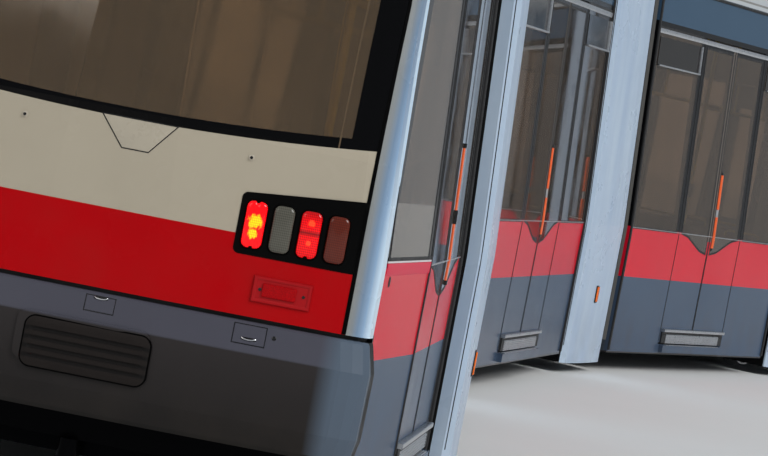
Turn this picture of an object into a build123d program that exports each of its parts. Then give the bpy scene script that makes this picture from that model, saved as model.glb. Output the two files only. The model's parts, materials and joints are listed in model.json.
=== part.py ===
from build123d import *
import math
import os

os.makedirs("parts", exist_ok=True)

# All lengths in millimetres. Every module is drawn straight in its own frame (+X towards the
# driving end, +Y to the left, Z up from the underside of the wheel flanges) and then set in the
# curve by its heading. A module's frame starts at its rear pivot, the rear module's at its front
# pivot. Doors are on the right side only.

# Line and layout
RAIL = 25.0                 # rail head above the flange tips
PITCH = 5630.0              # portal pivot to portal pivot
OVERHANG = 3660.0           # outer portal pivot to the end of the vehicle
PORTAL_HALF = 550.0         # half the length of a portal
GAP = 290.0                 # portal to module, filled by a bellows
START = PORTAL_HALF + GAP   # module end measured from the pivot
END = PITCH - START
DOOR_W = 1600.0
PANEL_W = (END - START - DOOR_W) / 2.0
FAR = 9000.0                # longer than any module, for cutting blocks

# Headings of the five modules in the curve of the photo, degrees, left turns positive
HEADING = {1: 5.5, 2: 10.0, 3: 0.0, 4: -11.0, 5: -21.0}
SIDE = {1: -1.0, 2: 0.0, 3: 0.0, 4: 0.0, 5: 1.0}    # which end of the vehicle a module closes
END_NAME = {1: "rear", 5: "front"}

# Heights
SKIRT_Z = RAIL + 120.0
FLOOR_Z = RAIL + 200.0
BELT_Z = RAIL + 1060.0
AISLE_TOP = RAIL + 2320.0
WINDOW_TOP = RAIL + 2560.0
EDGE_Z = RAIL + 2880.0
ROOF_Z = RAIL + 3000.0
CEILING_Z = EDGE_Z

# Widths and walls
HALF_W = 1160.0
EDGE_W = 1060.0
ROOF_W = 975.0
AISLE_W = 900.0
WALL = 45.0
BULKHEAD = 50.0
GLASS_T = 8.0
LEAF_T = 38.0
POST = 60.0                 # post between a door and the next window
POST_END = 55.0
SEAM = 8.0                  # between two door leaves
LEAF_PLAY = 12.0            # leaf to sill

# Sections of a module: height, half width
OUTER = ((SKIRT_Z, HALF_W), (BELT_Z, HALF_W), (EDGE_Z, EDGE_W), (ROOF_Z, ROOF_W))
INNER = (
    (FLOOR_Z, HALF_W),
    (BELT_Z, HALF_W),
    (EDGE_Z - 60.0, EDGE_W),
    (CEILING_Z, EDGE_W - 65.0),
)


def between(rows, z):
    """Second column of rows of (z, value) at height z, held level beyond both ends."""
    if z <= rows[0][0]:
        return rows[0][1]
    for (z0, a), (z1, b) in zip(rows, rows[1:]):
        if z <= z1:
            return a + (b - a) * (z - z0) / (z1 - z0)
    return rows[-1][1]


# Basic solids
def stack(levels):
    """Solid with flat sides through closed outlines [(z, [(x, y), ...]), ...]."""
    wires = [
        Wire.make_polygon([Vector(x, y, z) for x, y in points], close=True)
        for z, points in levels
    ]
    return Solid.make_loft(wires, ruled=True)


def block(x0, x1, y0, y1, z0, z1):
    size = (abs(x1 - x0), abs(y1 - y0), abs(z1 - z0))
    return Pos((x0 + x1) / 2.0, (y0 + y1) / 2.0, (z0 + z1) / 2.0) * Box(*size)


def slab(z0, z1):
    """Everything between two heights."""
    return block(-FAR, FAR, -FAR, FAR, z0, z1)


def rod(axis, centre, radius, a, b):
    """Cylinder along X, Y or Z through centre from a to b on that axis."""
    x, y, z = centre
    bar = Cylinder(radius, abs(b - a))
    middle = (a + b) / 2.0
    if axis == "x":
        return Pos(middle, y, z) * Rot(0, 90, 0) * bar
    if axis == "y":
        return Pos(x, middle, z) * Rot(90, 0, 0) * bar
    return Pos(x, y, middle) * bar


def prism(points, start, length):
    """Solid from a closed outline of vectors, moved along the vector length."""
    wire = Wire.make_polygon([Vector(*p) for p in points], close=True)
    return Pos(*start) * extrude(Face(wire), amount=Vector(*length).length, dir=length)


def prism_x(points, x0, x1):
    """Solid from an outline of (y, z) points between x0 and x1."""
    return prism([(0, y, z) for y, z in points], (x0, 0, 0), (x1 - x0, 0, 0))


def prism_y(points, y0, y1):
    """Solid from an outline of (x, z) points between y0 and y1."""
    return prism([(x, 0, z) for x, z in points], (0, y0, 0), (0, y1 - y0, 0))


def prism_z(points, z0, z1):
    """Solid from an outline of (x, y) points between z0 and z1."""
    return prism([(x, y, 0) for x, y in points], (0, 0, z0), (0, 0, z1 - z0))


def fuse(items):
    result = items[0]
    for item in items[1:]:
        result = result + item
    return result


def cut(body, items):
    for item in items:
        body = body - item
    return body


def solids_of(shape):
    if isinstance(shape, (list, tuple)):
        return [solid for item in shape for solid in solids_of(item)]
    return list(shape.solids())


# Places in the curve
def placed(x, y, heading):
    return Location((x, y, 0.0), (0.0, 0.0, heading))


def ahead(origin, heading, length):
    angle = math.radians(heading)
    return (origin[0] + length * math.cos(angle), origin[1] + length * math.sin(angle))


PIVOT = {2: (-PITCH / 2.0, 0.0), 3: (PITCH / 2.0, 0.0)}
PIVOT[1] = ahead(PIVOT[2], HEADING[2], -PITCH)
PIVOT[4] = ahead(PIVOT[3], HEADING[4], PITCH)
MODULE = {k: placed(*PIVOT[max(1, k - 1)], HEADING[k]) for k in HEADING}
PORTAL = {k: placed(*PIVOT[k], (HEADING[k] + HEADING[k + 1]) / 2.0) for k in PIVOT}


def save(name, shape, frame):
    parts = [frame * solid for solid in solids_of(shape)]
    export_step(Compound(children=parts) if len(parts) > 1 else parts[0], "parts/%s.step" % name)


# Plan of an end module beyond its door: the side draws in to the corner pillar, an elliptic
# corner turns it, and the face bows forward to a flat middle. The corner and the face keep their
# plan at every height and move in and back with the pillar, so all panels are flat.
TAPER_START = START + DOOR_W
PILLAR_X = OVERHANG - 210.0
PILLAR_IN = 85.0            # how far the side has drawn in at the pillar
PILLAR_W = 50.0             # length of the pillar's side
CORNER_IN = 232.0           # from the side to the start of the face, across the corner
FACE_W = HALF_W - CORNER_IN
FLAT_W = 232.0              # half width of the flat middle of the face
FACE_BOW = 64.0
FACE_STEPS = 5
CORNER_ANGLES = (12.0, 34.0, 56.0, 76.0)
TAPER = PILLAR_IN / (PILLAR_X - TAPER_START)

# Lean of the windscreen and the pillars: height, run back
LEAN = ((RAIL + 1450.0, 0.0), (RAIL + 1850.0, 48.0), (ROOF_Z, 290.0))


def lean(z):
    return between(LEAN, z)


def half_width(z):
    return between(OUTER, z)


def nose_line():
    """Half the plan of the nose: (distance from the pivot, distance in from the pillar)."""
    pillar_y = HALF_W - PILLAR_IN
    corner_x = PILLAR_X + PILLAR_W
    corner_in = TAPER * PILLAR_W
    length = OVERHANG - FACE_BOW - corner_x
    depth = pillar_y - corner_in - FACE_W
    line = [(PILLAR_X, 0.0)]
    for degrees in CORNER_ANGLES:
        turn = math.radians(degrees)
        line.append((corner_x + length * math.sin(turn),
                     corner_in + depth * (1.0 - math.cos(turn))))
    for i in range(FACE_STEPS + 1):
        y = FACE_W - (FACE_W - FLAT_W) * i / FACE_STEPS
        bow = FACE_BOW * (y ** 2 - FLAT_W ** 2) / (FACE_W ** 2 - FLAT_W ** 2)
        line.append((OVERHANG - bow, pillar_y - y))
    return line


NOSE = nose_line()


def nose_x(y):
    """Distance of the nose skin from the pivot at the lateral position y, below the lean."""
    return between([(HALF_W - PILLAR_IN - drop, x) for x, drop in reversed(NOSE)], abs(y))


def nose_plan(z, side, x_start, w, inset=0.0):
    """Outline of an end module at height z, set in by inset, from x_start to the nose."""
    back = lean(z) + inset
    if x_start < TAPER_START:
        right = [(side * x_start, inset - w), (side * TAPER_START, inset - w)]
    else:
        right = [(side * x_start, inset - w + TAPER * (x_start - TAPER_START))]
    pillar_y = w - inset - TAPER * (PILLAR_X - back - TAPER_START)
    right += [(side * (x - back), drop - pillar_y) for x, drop in NOSE]
    return right + [(x, -y) for x, y in reversed(right)]


def straight(x0, x1, w):
    return [(x0, -w), (x1, -w), (x1, w), (x0, w)]


def bent(rows):
    """Rows of (z, half width) with more rows where the nose starts to lean."""
    heights = {z for z, _ in rows} | {z for z, _ in LEAN if rows[0][0] < z < rows[-1][0]}
    return [(z, between(rows, z)) for z in sorted(heights)]


def hull_of(k, rows, inset, margin=0.0):
    """Solid of module k through rows of (z, half width), set in, and longer at open ends."""
    side = SIDE[k]
    if side == 0.0:
        x0, x1 = START - margin, END + margin
        return stack([(z, straight(x0, x1, w - inset)) for z, w in rows])
    return stack([(z, nose_plan(z, side, START - margin, w, inset)) for z, w in bent(rows)])


# Side openings
QUARTER_END = PILLAR_X - 50.0       # end of the last side window at the belt
LEAF_EDGE = 70.0
LEAF_STILE = 45.0
LEAF_TOP = 70.0
DIP = 140.0                         # how far the leaf windows dip at the middle of the door
DIP_STEPS = 4
OPEN_IN, OPEN_OUT = AISLE_W, HALF_W + 340.0


def pane(side, a, b, y_sign):
    """Cutting solid of a side window from a to b along the module."""
    outer = b if side * (b - a) > 0 else a
    inner = a if outer == b else b
    points = [(inner, BELT_Z), (outer, BELT_Z)]
    if abs(outer) >= QUARTER_END and side != 0.0:
        points += [(outer - side * run, z) for z, run in LEAN if z < WINDOW_TOP]
        points.append((outer - side * lean(WINDOW_TOP), WINDOW_TOP))
    else:
        points.append((outer, WINDOW_TOP))
    points.append((inner, WINDOW_TOP))
    return prism_y(points, y_sign * OPEN_IN, y_sign * OPEN_OUT)


def leaf_window(outer, inner):
    """Cutting solid of a leaf's window, whose lower edge dips in a wave towards the seam."""
    step = 1.0 if inner > outer else -1.0
    a = outer + step * LEAF_EDGE
    b = inner - step * LEAF_STILE
    points = []
    for i in range(DIP_STEPS + 1):
        part = i / DIP_STEPS
        drop = DIP * (1.0 - math.cos(math.pi * part)) / 2.0
        points.append((a + (b - a) * part, BELT_Z - drop))
    points += [(b, WINDOW_TOP - LEAF_TOP), (a, WINDOW_TOP - LEAF_TOP)]
    return prism_y(points, -OPEN_IN, -OPEN_OUT)


def spans_of(k):
    """Door opening, right windows and left windows of module k along x."""
    side = SIDE[k]
    if side == 0.0:
        door = (START + PANEL_W, END - PANEL_W)
        right = [(START + POST_END, door[0] - POST), (door[1] + POST, END - POST_END)]
        left = [(START + POST_END, door[0] - POST / 2.0),
                (door[0] + POST / 2.0, door[1] - POST / 2.0),
                (door[1] + POST / 2.0, END - POST_END)]
        return door, right, left
    door = (START + POST_END, TAPER_START)
    right = [(TAPER_START + POST, QUARTER_END)]
    left = [(START + POST_END, TAPER_START - POST / 2.0), (TAPER_START + POST / 2.0, QUARTER_END)]

    def turned(span):
        return tuple(sorted((side * span[0], side * span[1])))
    return turned(door), [turned(s) for s in right], [turned(s) for s in left]


def build_shell(k):
    """Skin, door leaves and glass of module k, with the hulls that its end is cut from."""
    side = SIDE[k]
    door, right, left = spans_of(k)
    hull = hull_of(k, OUTER, 0.0)
    core = hull_of(k, INNER, WALL, -BULKHEAD)
    glass_skin = hull - hull_of(k, OUTER, GLASS_T, 10.0)
    leaf_skin = hull - hull_of(k, OUTER, LEAF_T, 10.0)
    if side == 0.0:
        passage = block(0.0, PITCH, -AISLE_W, AISLE_W, FLOOR_Z, AISLE_TOP)
    else:
        passage = block(0.0, side * (START + 400.0), -AISLE_W, AISLE_W, FLOOR_Z, AISLE_TOP)
    panes = [pane(side, a, b, -1.0) for a, b in right] + [pane(side, a, b, 1.0) for a, b in left]
    door_hole = block(door[0], door[1], -OPEN_OUT, -OPEN_IN, FLOOR_Z, WINDOW_TOP)
    body = cut(hull - core, [passage, door_hole] + panes)
    middle = (door[0] + door[1]) / 2.0
    leaves = []
    for outer, inner in ((door[0], middle - SEAM / 2.0), (door[1], middle + SEAM / 2.0)):
        box = block(outer, inner, -OPEN_OUT, -OPEN_IN, FLOOR_Z + LEAF_PLAY, WINDOW_TOP - SEAM)
        window = leaf_window(outer, inner)
        leaves.append((leaf_skin & box) - window)
        panes.append(window)
    return body, leaves, [glass_skin & hole for hole in panes], hull - core, glass_skin, door


# Ends: frame and pillars, painted mask, windscreen, bumper
MASK_Z = RAIL + 785.0
SCREEN_Z = {1: RAIL + 1475.0, 5: RAIL + 1180.0}
SCREEN_TOP = RAIL + 2620.0
MASK_EDGE = ((RAIL + 2100.0, FACE_W + 51.0), (SCREEN_TOP, FACE_W + 12.0))   # height, half width
BUMPER = (                  # height, how far it stands ahead of the skin
    (RAIL + 290.0, 8.0),
    (RAIL + 390.0, 28.0),
    (RAIL + 648.0, 32.0),
    (RAIL + 758.0, 7.0),
    (RAIL + 767.0, 0.0),
)
BUMPER_TUCK = 20.0          # skin set in between the bumper and the mask
PAD_W, PAD_H, PAD_R = 520.0, 190.0, 38.0
PAD_Z = RAIL + 560.0
PAD_OUT = 42.0
GROOVES, GROOVE_H, GROOVE_PITCH = 5, 12.0, 28.0
NOSE_FLOOR_Z = FLOOR_Z - 15.0
NOSE_FLOOR_T = 30.0
TOW_X = OVERHANG - 120.0
TOW_R = 20.0
TOW_Z = SKIRT_Z - 15.0


def end_zone(side, x_in, z0, z1, edge=((0.0, FAR),)):
    """Part of the nose beyond x_in that leans with it, out to an edge of (height, half width)."""
    levels = []
    for z in sorted({z0, z1} | {row for row, _ in LEAN + edge if z0 < row < z1}):
        w = between(edge, z)
        levels.append((z, straight(side * (x_in - lean(z)), side * FAR, w)))
    return stack(levels)


def nose_band(side, y0, y1, z0, z1, inner, outer, steps=8):
    """Plate that follows the nose from y0 to y1, between two offsets ahead of the skin."""
    ys = [y0 + (y1 - y0) * i / steps for i in range(steps + 1)]
    points = [(side * (nose_x(y) + outer), y) for y in ys]
    points += [(side * (nose_x(y) + inner), y) for y in reversed(ys)]
    return prism_z(points, z0, z1)


def face_plate(side, width, height, radius, inner, outer, y, z):
    """Plate with rounded corners that lies on the nose at (y, z) and turns with it."""
    x = nose_x(y)
    slope = math.degrees(math.atan((nose_x(abs(y) + 20.0) - nose_x(abs(y) - 20.0)) / 40.0))
    turn = -slope if y > 0 else slope
    plate = extrude(Plane.YZ * RectangleRounded(width, height, radius), amount=outer - inner)
    if side < 0:
        turn = 180.0 - turn
    return Location((side * x, y, z), (0, 0, turn)) * Pos(inner, 0, 0) * plate


def build_bumper(side, cap):
    def ring(levels):
        return stack(
            [(z, nose_plan(z, side, PILLAR_X - 50.0, HALF_W, -out)) for z, out in levels]
        )
    recess = ((BUMPER[-1][0], -BUMPER_TUCK), (MASK_Z, -BUMPER_TUCK))
    hollow = stack(
        [(z, nose_plan(z, side, PILLAR_X - 80.0, HALF_W, WALL)) for z in (SKIRT_Z, MASK_Z + WALL)]
    )
    shell = (fuse([ring(BUMPER), ring(recess)]) - hollow) & cap
    seat_zone = face_plate(side, PAD_W, PAD_H, PAD_R, 12.0, PAD_OUT * 3.0, 0.0, PAD_Z)
    pad = seat_zone & nose_band(side, -PAD_W, PAD_W, PAD_Z - PAD_H, PAD_Z + PAD_H, 0.0, PAD_OUT)
    for i in range(GROOVES):
        z = PAD_Z + (i - (GROOVES - 1) / 2.0) * GROOVE_PITCH
        pad = pad - nose_band(side, -PAD_W * 0.43, PAD_W * 0.43, z - GROOVE_H / 2.0,
                              z + GROOVE_H / 2.0, PAD_OUT - 9.0, PAD_OUT * 2.0)
    return [shell - seat_zone, pad]


def nose_floor(side):
    """Raised floor behind the bumper."""
    low = nose_plan(SKIRT_Z, side, PILLAR_X - 150.0, HALF_W, WALL + 65.0)
    high = nose_plan(SKIRT_Z, side, PILLAR_X - 150.0, HALF_W, WALL)
    top = BUMPER[0][0] + 30.0
    return stack([(NOSE_FLOOR_Z, low), (top, high), (top + NOSE_FLOOR_T, high)])


def tow_lug(side):
    """Towing eye under the raised floor: a plate on edge of the nose with an upright hole."""
    back = TOW_X - 4.0 * TOW_R
    plate = block(side * back, side * TOW_X, -2.0 * TOW_R, 2.0 * TOW_R, TOW_Z, NOSE_FLOOR_Z)
    eye = rod("z", (side * TOW_X, 0, 0), 2.0 * TOW_R, TOW_Z, NOSE_FLOOR_Z)
    return (plate + eye) - rod("z", (side * TOW_X, 0, 0), TOW_R, TOW_Z, NOSE_FLOOR_Z)


# Lamps: a dark bezel on each side of the mask with four lenses in a row
BEZEL_W, BEZEL_H, BEZEL_R = 480.0, 238.0, 22.0
BEZEL_RISE = 44.0           # how much taller a bezel is at the pillar
BEZEL = (FACE_W + 51.0 - BEZEL_W, FACE_W + 51.0)
BEZEL_Z = {1: RAIL + 1136.0, 5: RAIL + 985.0}
LENS_PITCH = 106.0
LENS_Y = tuple(FACE_W - 46.0 - LENS_PITCH * i for i in (3, 2, 1, 0))
LENS_W, LENS_H, LENS_R = 80.0, 180.0, 26.0
LENS_OUT = 6.0


def bezel_zone(z0, z1, hand):
    """Everything behind the outline of a bezel: sloping top, round corners on its inner end."""
    points = [(hand * BEZEL[1], z0), (hand * BEZEL[1], z1 + BEZEL_RISE)]
    for z, start in ((z1 - BEZEL_R, 90.0), (z0 + BEZEL_R, 180.0)):
        for i in range(5):
            turn = math.radians(start + 22.5 * i)
            y = BEZEL[0] + BEZEL_R + BEZEL_R * math.cos(turn)
            points.append((hand * y, z + BEZEL_R * math.sin(turn)))
    return prism_x(points, -FAR, FAR)


def build_lamps(k):
    """Bezels with their lenses, and the pockets that they take up in the skin."""
    side = SIDE[k]
    z0, z1 = BEZEL_Z[k] - BEZEL_H / 2.0, BEZEL_Z[k] + BEZEL_H / 2.0
    top = z1 + BEZEL_RISE
    pieces, pockets = [], []
    for hand in (1.0, -1.0):
        y0, y1 = hand * BEZEL[0], hand * BEZEL[1]
        outline = bezel_zone(z0, z1, hand)
        pockets.append(nose_band(side, y0, y1, z0, top, -2.0 * WALL, 2.0 * WALL) & outline)
        lenses = [
            face_plate(side, LENS_W, LENS_H, LENS_R, -20.0, LENS_OUT, hand * y, BEZEL_Z[k])
            for y in LENS_Y
        ]
        pieces.append(cut(nose_band(side, y0, y1, z0, top, 5.0 - WALL, 2.0) & outline, lenses))
        pieces += lenses
    return pieces, pockets


def build_end(k, body, shell, glass_skin):
    """Splits the nose of an end module into its real panels."""
    side = SIDE[k]
    cap = end_zone(side, PILLAR_X, 0.0, ROOF_Z + 500.0)
    zone = end_zone(side, PILLAR_X - 700.0, MASK_Z, SCREEN_TOP, MASK_EDGE)
    lamps, pockets = build_lamps(k)
    nose = cut(shell & cap, pockets)
    return {
        "body": (body - cap) + nose_floor(side),
        "frame": nose - zone - slab(0.0, MASK_Z),
        "mask": nose & zone & slab(MASK_Z, SCREEN_Z[k]),
        "screen": glass_skin & cap & zone & slab(SCREEN_Z[k], SCREEN_TOP),
        "bumper": build_bumper(side, cap),
        "lamps": lamps,
    }


# Underframe and roof
PIN_R = 45.0
FIT = 0.05
TONGUE_A = (SKIRT_Z - 30.0, SKIRT_Z)        # drawbar plate from the module behind the portal
TONGUE_B = (SKIRT_Z - 80.0, SKIRT_Z - 40.0)     # drawbar plate from the module ahead of it
TONGUE_W = 110.0
TONGUE_ROOT = 200.0
TONGUE_SHOULDER = START - 280.0
SILL_OUT = 32.0
JACK_Y = 900.0
JACK_PAD = (150.0, 100.0, 12.0)
JACK_AHEAD = 1000.0         # pads of an end module, measured from its inner end
ROOF_UNITS = {              # from, to, half width, height
    1: ((-3000.0, -1100.0, 780.0, 290.0),),
    2: ((START + 360.0, END - 390.0, 800.0, 300.0),),
    3: ((START + 110.0, START + 910.0, 760.0, 250.0), (END - 940.0, END - 140.0, 760.0, 250.0)),
    4: ((START + 360.0, END - 390.0, 800.0, 300.0),),
    5: ((START + 160.0, 2700.0, 760.0, 270.0),),
}
LOUVRES = 9


def tongue(direction, z0, z1):
    """Drawbar plate bolted under a module, to the pivot at x = 0; direction points to it."""
    root = direction * (START + 150.0)
    shoulder = direction * TONGUE_SHOULDER
    plate = prism_z(
        [(0.0, -TONGUE_W), (shoulder, -TONGUE_W), (root, -TONGUE_ROOT), (root, TONGUE_ROOT),
         (shoulder, TONGUE_W), (0.0, TONGUE_W)],
        z0,
        z1,
    )
    plate = plate + rod("z", (0, 0, 0), TONGUE_W, z0, z1)
    if z1 < SKIRT_Z:
        plate = plate + block(direction * START, root, -TONGUE_ROOT, TONGUE_ROOT, z0, SKIRT_Z)
    return plate - rod("z", (0, 0, 0), PIN_R + FIT, z0 - 10.0, z1 + 10.0)


def jack_pads(side):
    """Pads under the floor for a workshop jack, one on each side of a module."""
    x = side * (START + JACK_AHEAD) if side else PITCH / 2.0
    half_x, half_y = JACK_PAD[0] / 2.0, JACK_PAD[1] / 2.0
    return [block(x - half_x, x + half_x, y - half_y, y + half_y, SKIRT_Z - JACK_PAD[2], SKIRT_Z)
            for y in (JACK_Y, -JACK_Y)]


def roof_unit(x0, x1, half, height):
    """Equipment housing with bevelled edges and louvres along both sides."""
    top = ROOF_Z + height
    housing = stack(
        [
            (ROOF_Z - 20.0, straight(x0, x1, half)),
            (top - 60.0, straight(x0 + 25.0, x1 - 25.0, half - 20.0)),
            (top, straight(x0 + 90.0, x1 - 90.0, half - 100.0)),
        ]
    )
    pitch = (x1 - x0 - 300.0) / LOUVRES
    slots = []
    for i in range(LOUVRES):
        x = x0 + 150.0 + pitch * (i + 0.5)
        for y in (half, -half):
            slots.append(block(x - pitch * 0.3, x + pitch * 0.3, y - 28.0, y + 28.0,
                               ROOF_Z + 70.0, top - 100.0))
    return cut(housing, slots)


def sill(door):
    return block(door[0] + 40.0, door[1] - 40.0, -HALF_W - SILL_OUT, 30.0 - HALF_W,
                 SKIRT_Z + 20.0, FLOOR_Z - 5.0)


# Seats and poles
SEAT_H = 440.0
SEAT_T = 45.0
SEAT_D = 400.0
SEAT_W = 440.0
SEAT_GAP = 10.0             # bench to the wall lining
SEAT_OUTER = HALF_W - WALL - SEAT_GAP
POLE_R = 17.0


def seat(x, facing, y0, y1):
    """Bench from y0 to y1 on one pedestal; facing +1 looks forward."""
    def at(back, height):
        return (x - facing * back, FLOOR_Z + height)
    shell = prism_y(
        [at(0, SEAT_H), at(0, SEAT_H - SEAT_T), at(SEAT_D, SEAT_H - SEAT_T),
         at(SEAT_D + 100.0, SEAT_H + 420.0), at(SEAT_D + 60.0, SEAT_H + 425.0),
         at(SEAT_D - 25.0, SEAT_H)],
        y0,
        y1,
    )
    middle = (y0 + y1) / 2.0
    foot = block(x - facing * 260.0, x - facing * 200.0, middle - 40.0, middle + 40.0,
                 FLOOR_Z, FLOOR_Z + SEAT_H - SEAT_T)
    plate = block(x - facing * 300.0, x - facing * 160.0, middle - 90.0, middle + 90.0,
                  FLOOR_Z, FLOOR_Z + 12.0)
    return fuse([shell, foot, plate])


def pole(x, y):
    return rod("z", (x, y, 0), POLE_R, FLOOR_Z, CEILING_Z)


def interior(k, door):
    side = SIDE[k]
    inner = SEAT_OUTER - SEAT_W
    double = SEAT_OUTER - 2.0 * SEAT_W + 20.0
    pole_y = 25.0 - inner
    if side == 0.0:
        pieces = [seat(START + 760.0, 1, -SEAT_OUTER, -inner),
                  seat(END - 760.0, -1, -SEAT_OUTER, -inner)]
        for x, facing in ((START + 700.0, 1), (START + 2280.0, -1), (START + 2330.0, 1),
                          (END - 620.0, -1)):
            pieces.append(seat(x, facing, double, SEAT_OUTER))
        return pieces + [pole(door[0] - POST, pole_y), pole(door[1] + POST, pole_y)]
    pieces = [seat(side * (START + back), side, double, SEAT_OUTER) for back in (1450.0, 700.0)]
    if k == 1:
        tail = SEAT_OUTER - 105.0
        pieces += [seat(-OVERHANG + 780.0, 1, -tail, pole_y),
                   seat(-OVERHANG + 780.0, 1, double, tail)]
    return pieces + [pole(side * (TAPER_START - POST), pole_y),
                     pole(side * (START + 110.0), pole_y)]


def build_cab():
    """Partition with a door opening, desk and driver's seat of the front module."""
    x0, x1 = TAPER_START + 20.0, TAPER_START + 50.0
    wall = stack([(z, straight(x0, x1, w - WALL - 8.0)) for z, w in INNER])
    way = block(x0 - 50.0, x1 + 50.0, -650.0, 100.0, FLOOR_Z, RAIL + 2150.0)
    glazing = block(x0 - 50.0, x1 + 50.0, 250.0, 930.0, RAIL + 1150.0, RAIL + 2150.0)
    foot_z = BUMPER[0][0] + 30.0 + NOSE_FLOOR_T
    back = OVERHANG - 270.0
    desk = prism_y(
        [(back, foot_z), (back - 10.0, RAIL + 1080.0), (back - 270.0, RAIL + 980.0),
         (back - 350.0, RAIL + 900.0), (back - 230.0, RAIL + 860.0), (back - 85.0, foot_z)],
        -800.0,
        800.0,
    )
    return [cut(wall, [way, glazing]), desk, seat(back - 410.0, 1, -60.0, 420.0)]


# Portals: arches that carry the wheels in their columns
STAND = 90.0                # how far a portal stands out past the modules
PORTAL_OUT = (              # height, half width
    (RAIL + 50.0, HALF_W + STAND),
    (BELT_Z, HALF_W + STAND),
    (EDGE_Z, EDGE_W + STAND),
    (ROOF_Z + 10.0, ROOF_W + STAND - 5.0),
    (ROOF_Z + 60.0, ROOF_W + STAND - 155.0),
)
PORTAL_PLAN = ((1.0, 50.0), (0.92, 14.0), (0.6, 4.0))    # share of the half length, set in
AISLE = 520.0
PORTAL_FLOOR = RAIL + 165.0
CASE_TOP = RAIL + 870.0
COLUMN_TOP = RAIL + 1750.0
WELL_W = HALF_W + STAND - 50.0      # inner face of a portal's outer wall
BACK = 680.0                # back of the wheel flange from the middle of the track
MOTOR_Y = BACK + 270.0
MOTOR_R = 100.0
MOTOR_PLAY = 10.0


def build_portal():
    plan = [(-PORTAL_HALF * share, inset) for share, inset in PORTAL_PLAN] + [(0.0, 0.0)]
    plan += [(-x, inset) for x, inset in reversed(plan[:-1])]
    levels = []
    for z, w in PORTAL_OUT:
        right = [(x, inset - w) for x, inset in plan]
        levels.append((z, right + [(x, -y) for x, y in reversed(right)]))
    well = PORTAL_HALF - 40.0
    through = PORTAL_HALF + 100.0
    cuts = [
        block(-through, through, -AISLE, AISLE, FLOOR_Z, CASE_TOP + 50.0),
        block(-through, through, 100.0 - AISLE_W, AISLE_W - 100.0, CASE_TOP + 49.0, AISLE_TOP),
        block(-well, well, 110.0 - EDGE_W - STAND, EDGE_W + STAND - 110.0, AISLE_TOP + 60.0,
              EDGE_Z + 20.0),
        block(-150.0, 150.0, -700.0, 700.0, AISLE_TOP - 20.0, AISLE_TOP + 80.0),
        block(-through, through, -AISLE, AISLE, 0.0, PORTAL_FLOOR),
    ]
    for hand in (1.0, -1.0):
        cuts.append(block(-well, well, hand * (AISLE + 30.0), hand * WELL_W, 0.0,
                          CASE_TOP + 10.0))
        cuts.append(block(-300.0, 300.0, hand * (MOTOR_Y - MOTOR_R - MOTOR_PLAY),
                          hand * (MOTOR_Y + MOTOR_R + MOTOR_PLAY), CASE_TOP, COLUMN_TOP))
    pin = rod("z", (0, 0, 0), PIN_R, TONGUE_B[0] - 5.0, PORTAL_FLOOR + 5.0)
    return cut(stack(levels), cuts) + pin


# Running gear: independent wheels on stub axles, each with a geared upright motor
WHEEL_R = 340.0
FLANGE = 25.0
AXLE_Z = RAIL + WHEEL_R
AXLE_R = 60.0
HUB_R = 110.0
RIM_W = 115.0
WHEEL_HOLES, HOLE_R, HOLE_AT = 6, 38.0, 195.0
CASE_Y = (BACK + 135.0, BACK + 320.0)


def build_drive():
    """Gear case with its arm to the column, the stub axle and its cap, and the motor."""
    pieces = []
    for hand in (1.0, -1.0):
        def across(radius, y0, y1):
            return rod("y", (0, 0, AXLE_Z), radius, hand * y0, hand * y1)
        y0, y1 = CASE_Y
        case = block(-110, 110, hand * y0, hand * y1, RAIL + 180.0, CASE_TOP)
        arm = block(-90, 90, hand * (y1 - 10.0), hand * WELL_W, AXLE_Z + 65.0, AXLE_Z + 235.0)
        motor = rod("z", (0, hand * MOTOR_Y, 0), MOTOR_R, CASE_TOP - 10.0, COLUMN_TOP - 150.0)
        pieces.append(fuse([case, across(175.0, y0, y1), arm, across(AXLE_R, BACK - 30.0, y0 + 5.0),
                            across(88.0, BACK - 32.0, BACK - 16.0), motor]))
    return pieces


def build_wheel(hand):
    """Turned wheel with a dished web; the flange is on the inner side."""
    tread = BACK + RIM_W
    rim = WHEEL_R - 68.0
    profile = [
        (AXLE_R + FIT, BACK - 8.0), (HUB_R, BACK - 8.0), (HUB_R + 8.0, BACK + 42.0),
        (rim, BACK + 46.0), (rim + 10.0, BACK), (WHEEL_R + FLANGE, BACK + 8.0),
        (WHEEL_R + 6.0, BACK + 32.0), (WHEEL_R, BACK + 40.0), (WHEEL_R - 2.0, tread),
        (rim + 18.0, tread), (rim, BACK + 72.0), (HUB_R + 8.0, BACK + 76.0),
        (HUB_R, tread + 8.0), (AXLE_R + FIT, tread + 8.0),
    ]
    points = [Vector(r, hand * y, 0.0) for r, y in profile]
    wheel = revolve(Face(Wire.make_polygon(points, close=True)), axis=Axis.Y)
    holes = []
    for i in range(WHEEL_HOLES):
        turn = math.radians(360.0 / WHEEL_HOLES * i)
        spot = (HOLE_AT * math.cos(turn), 0, HOLE_AT * math.sin(turn))
        holes.append(rod("y", spot, HOLE_R, hand * (BACK + 20.0), hand * (BACK + 100.0)))
    return Pos(0, 0, AXLE_Z) * cut(wheel, holes)


# Bellows: plain tubes between a portal and its two modules
BELLOWS_SET = 50.0          # inside the skin of the modules
BELLOWS_T = 35.0
BELLOWS = (                 # height, half width
    (RAIL + 180.0, HALF_W - BELLOWS_SET),
    (BELT_Z, HALF_W - BELLOWS_SET),
    (EDGE_Z - 40.0, EDGE_W - BELLOWS_SET),
)


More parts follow.
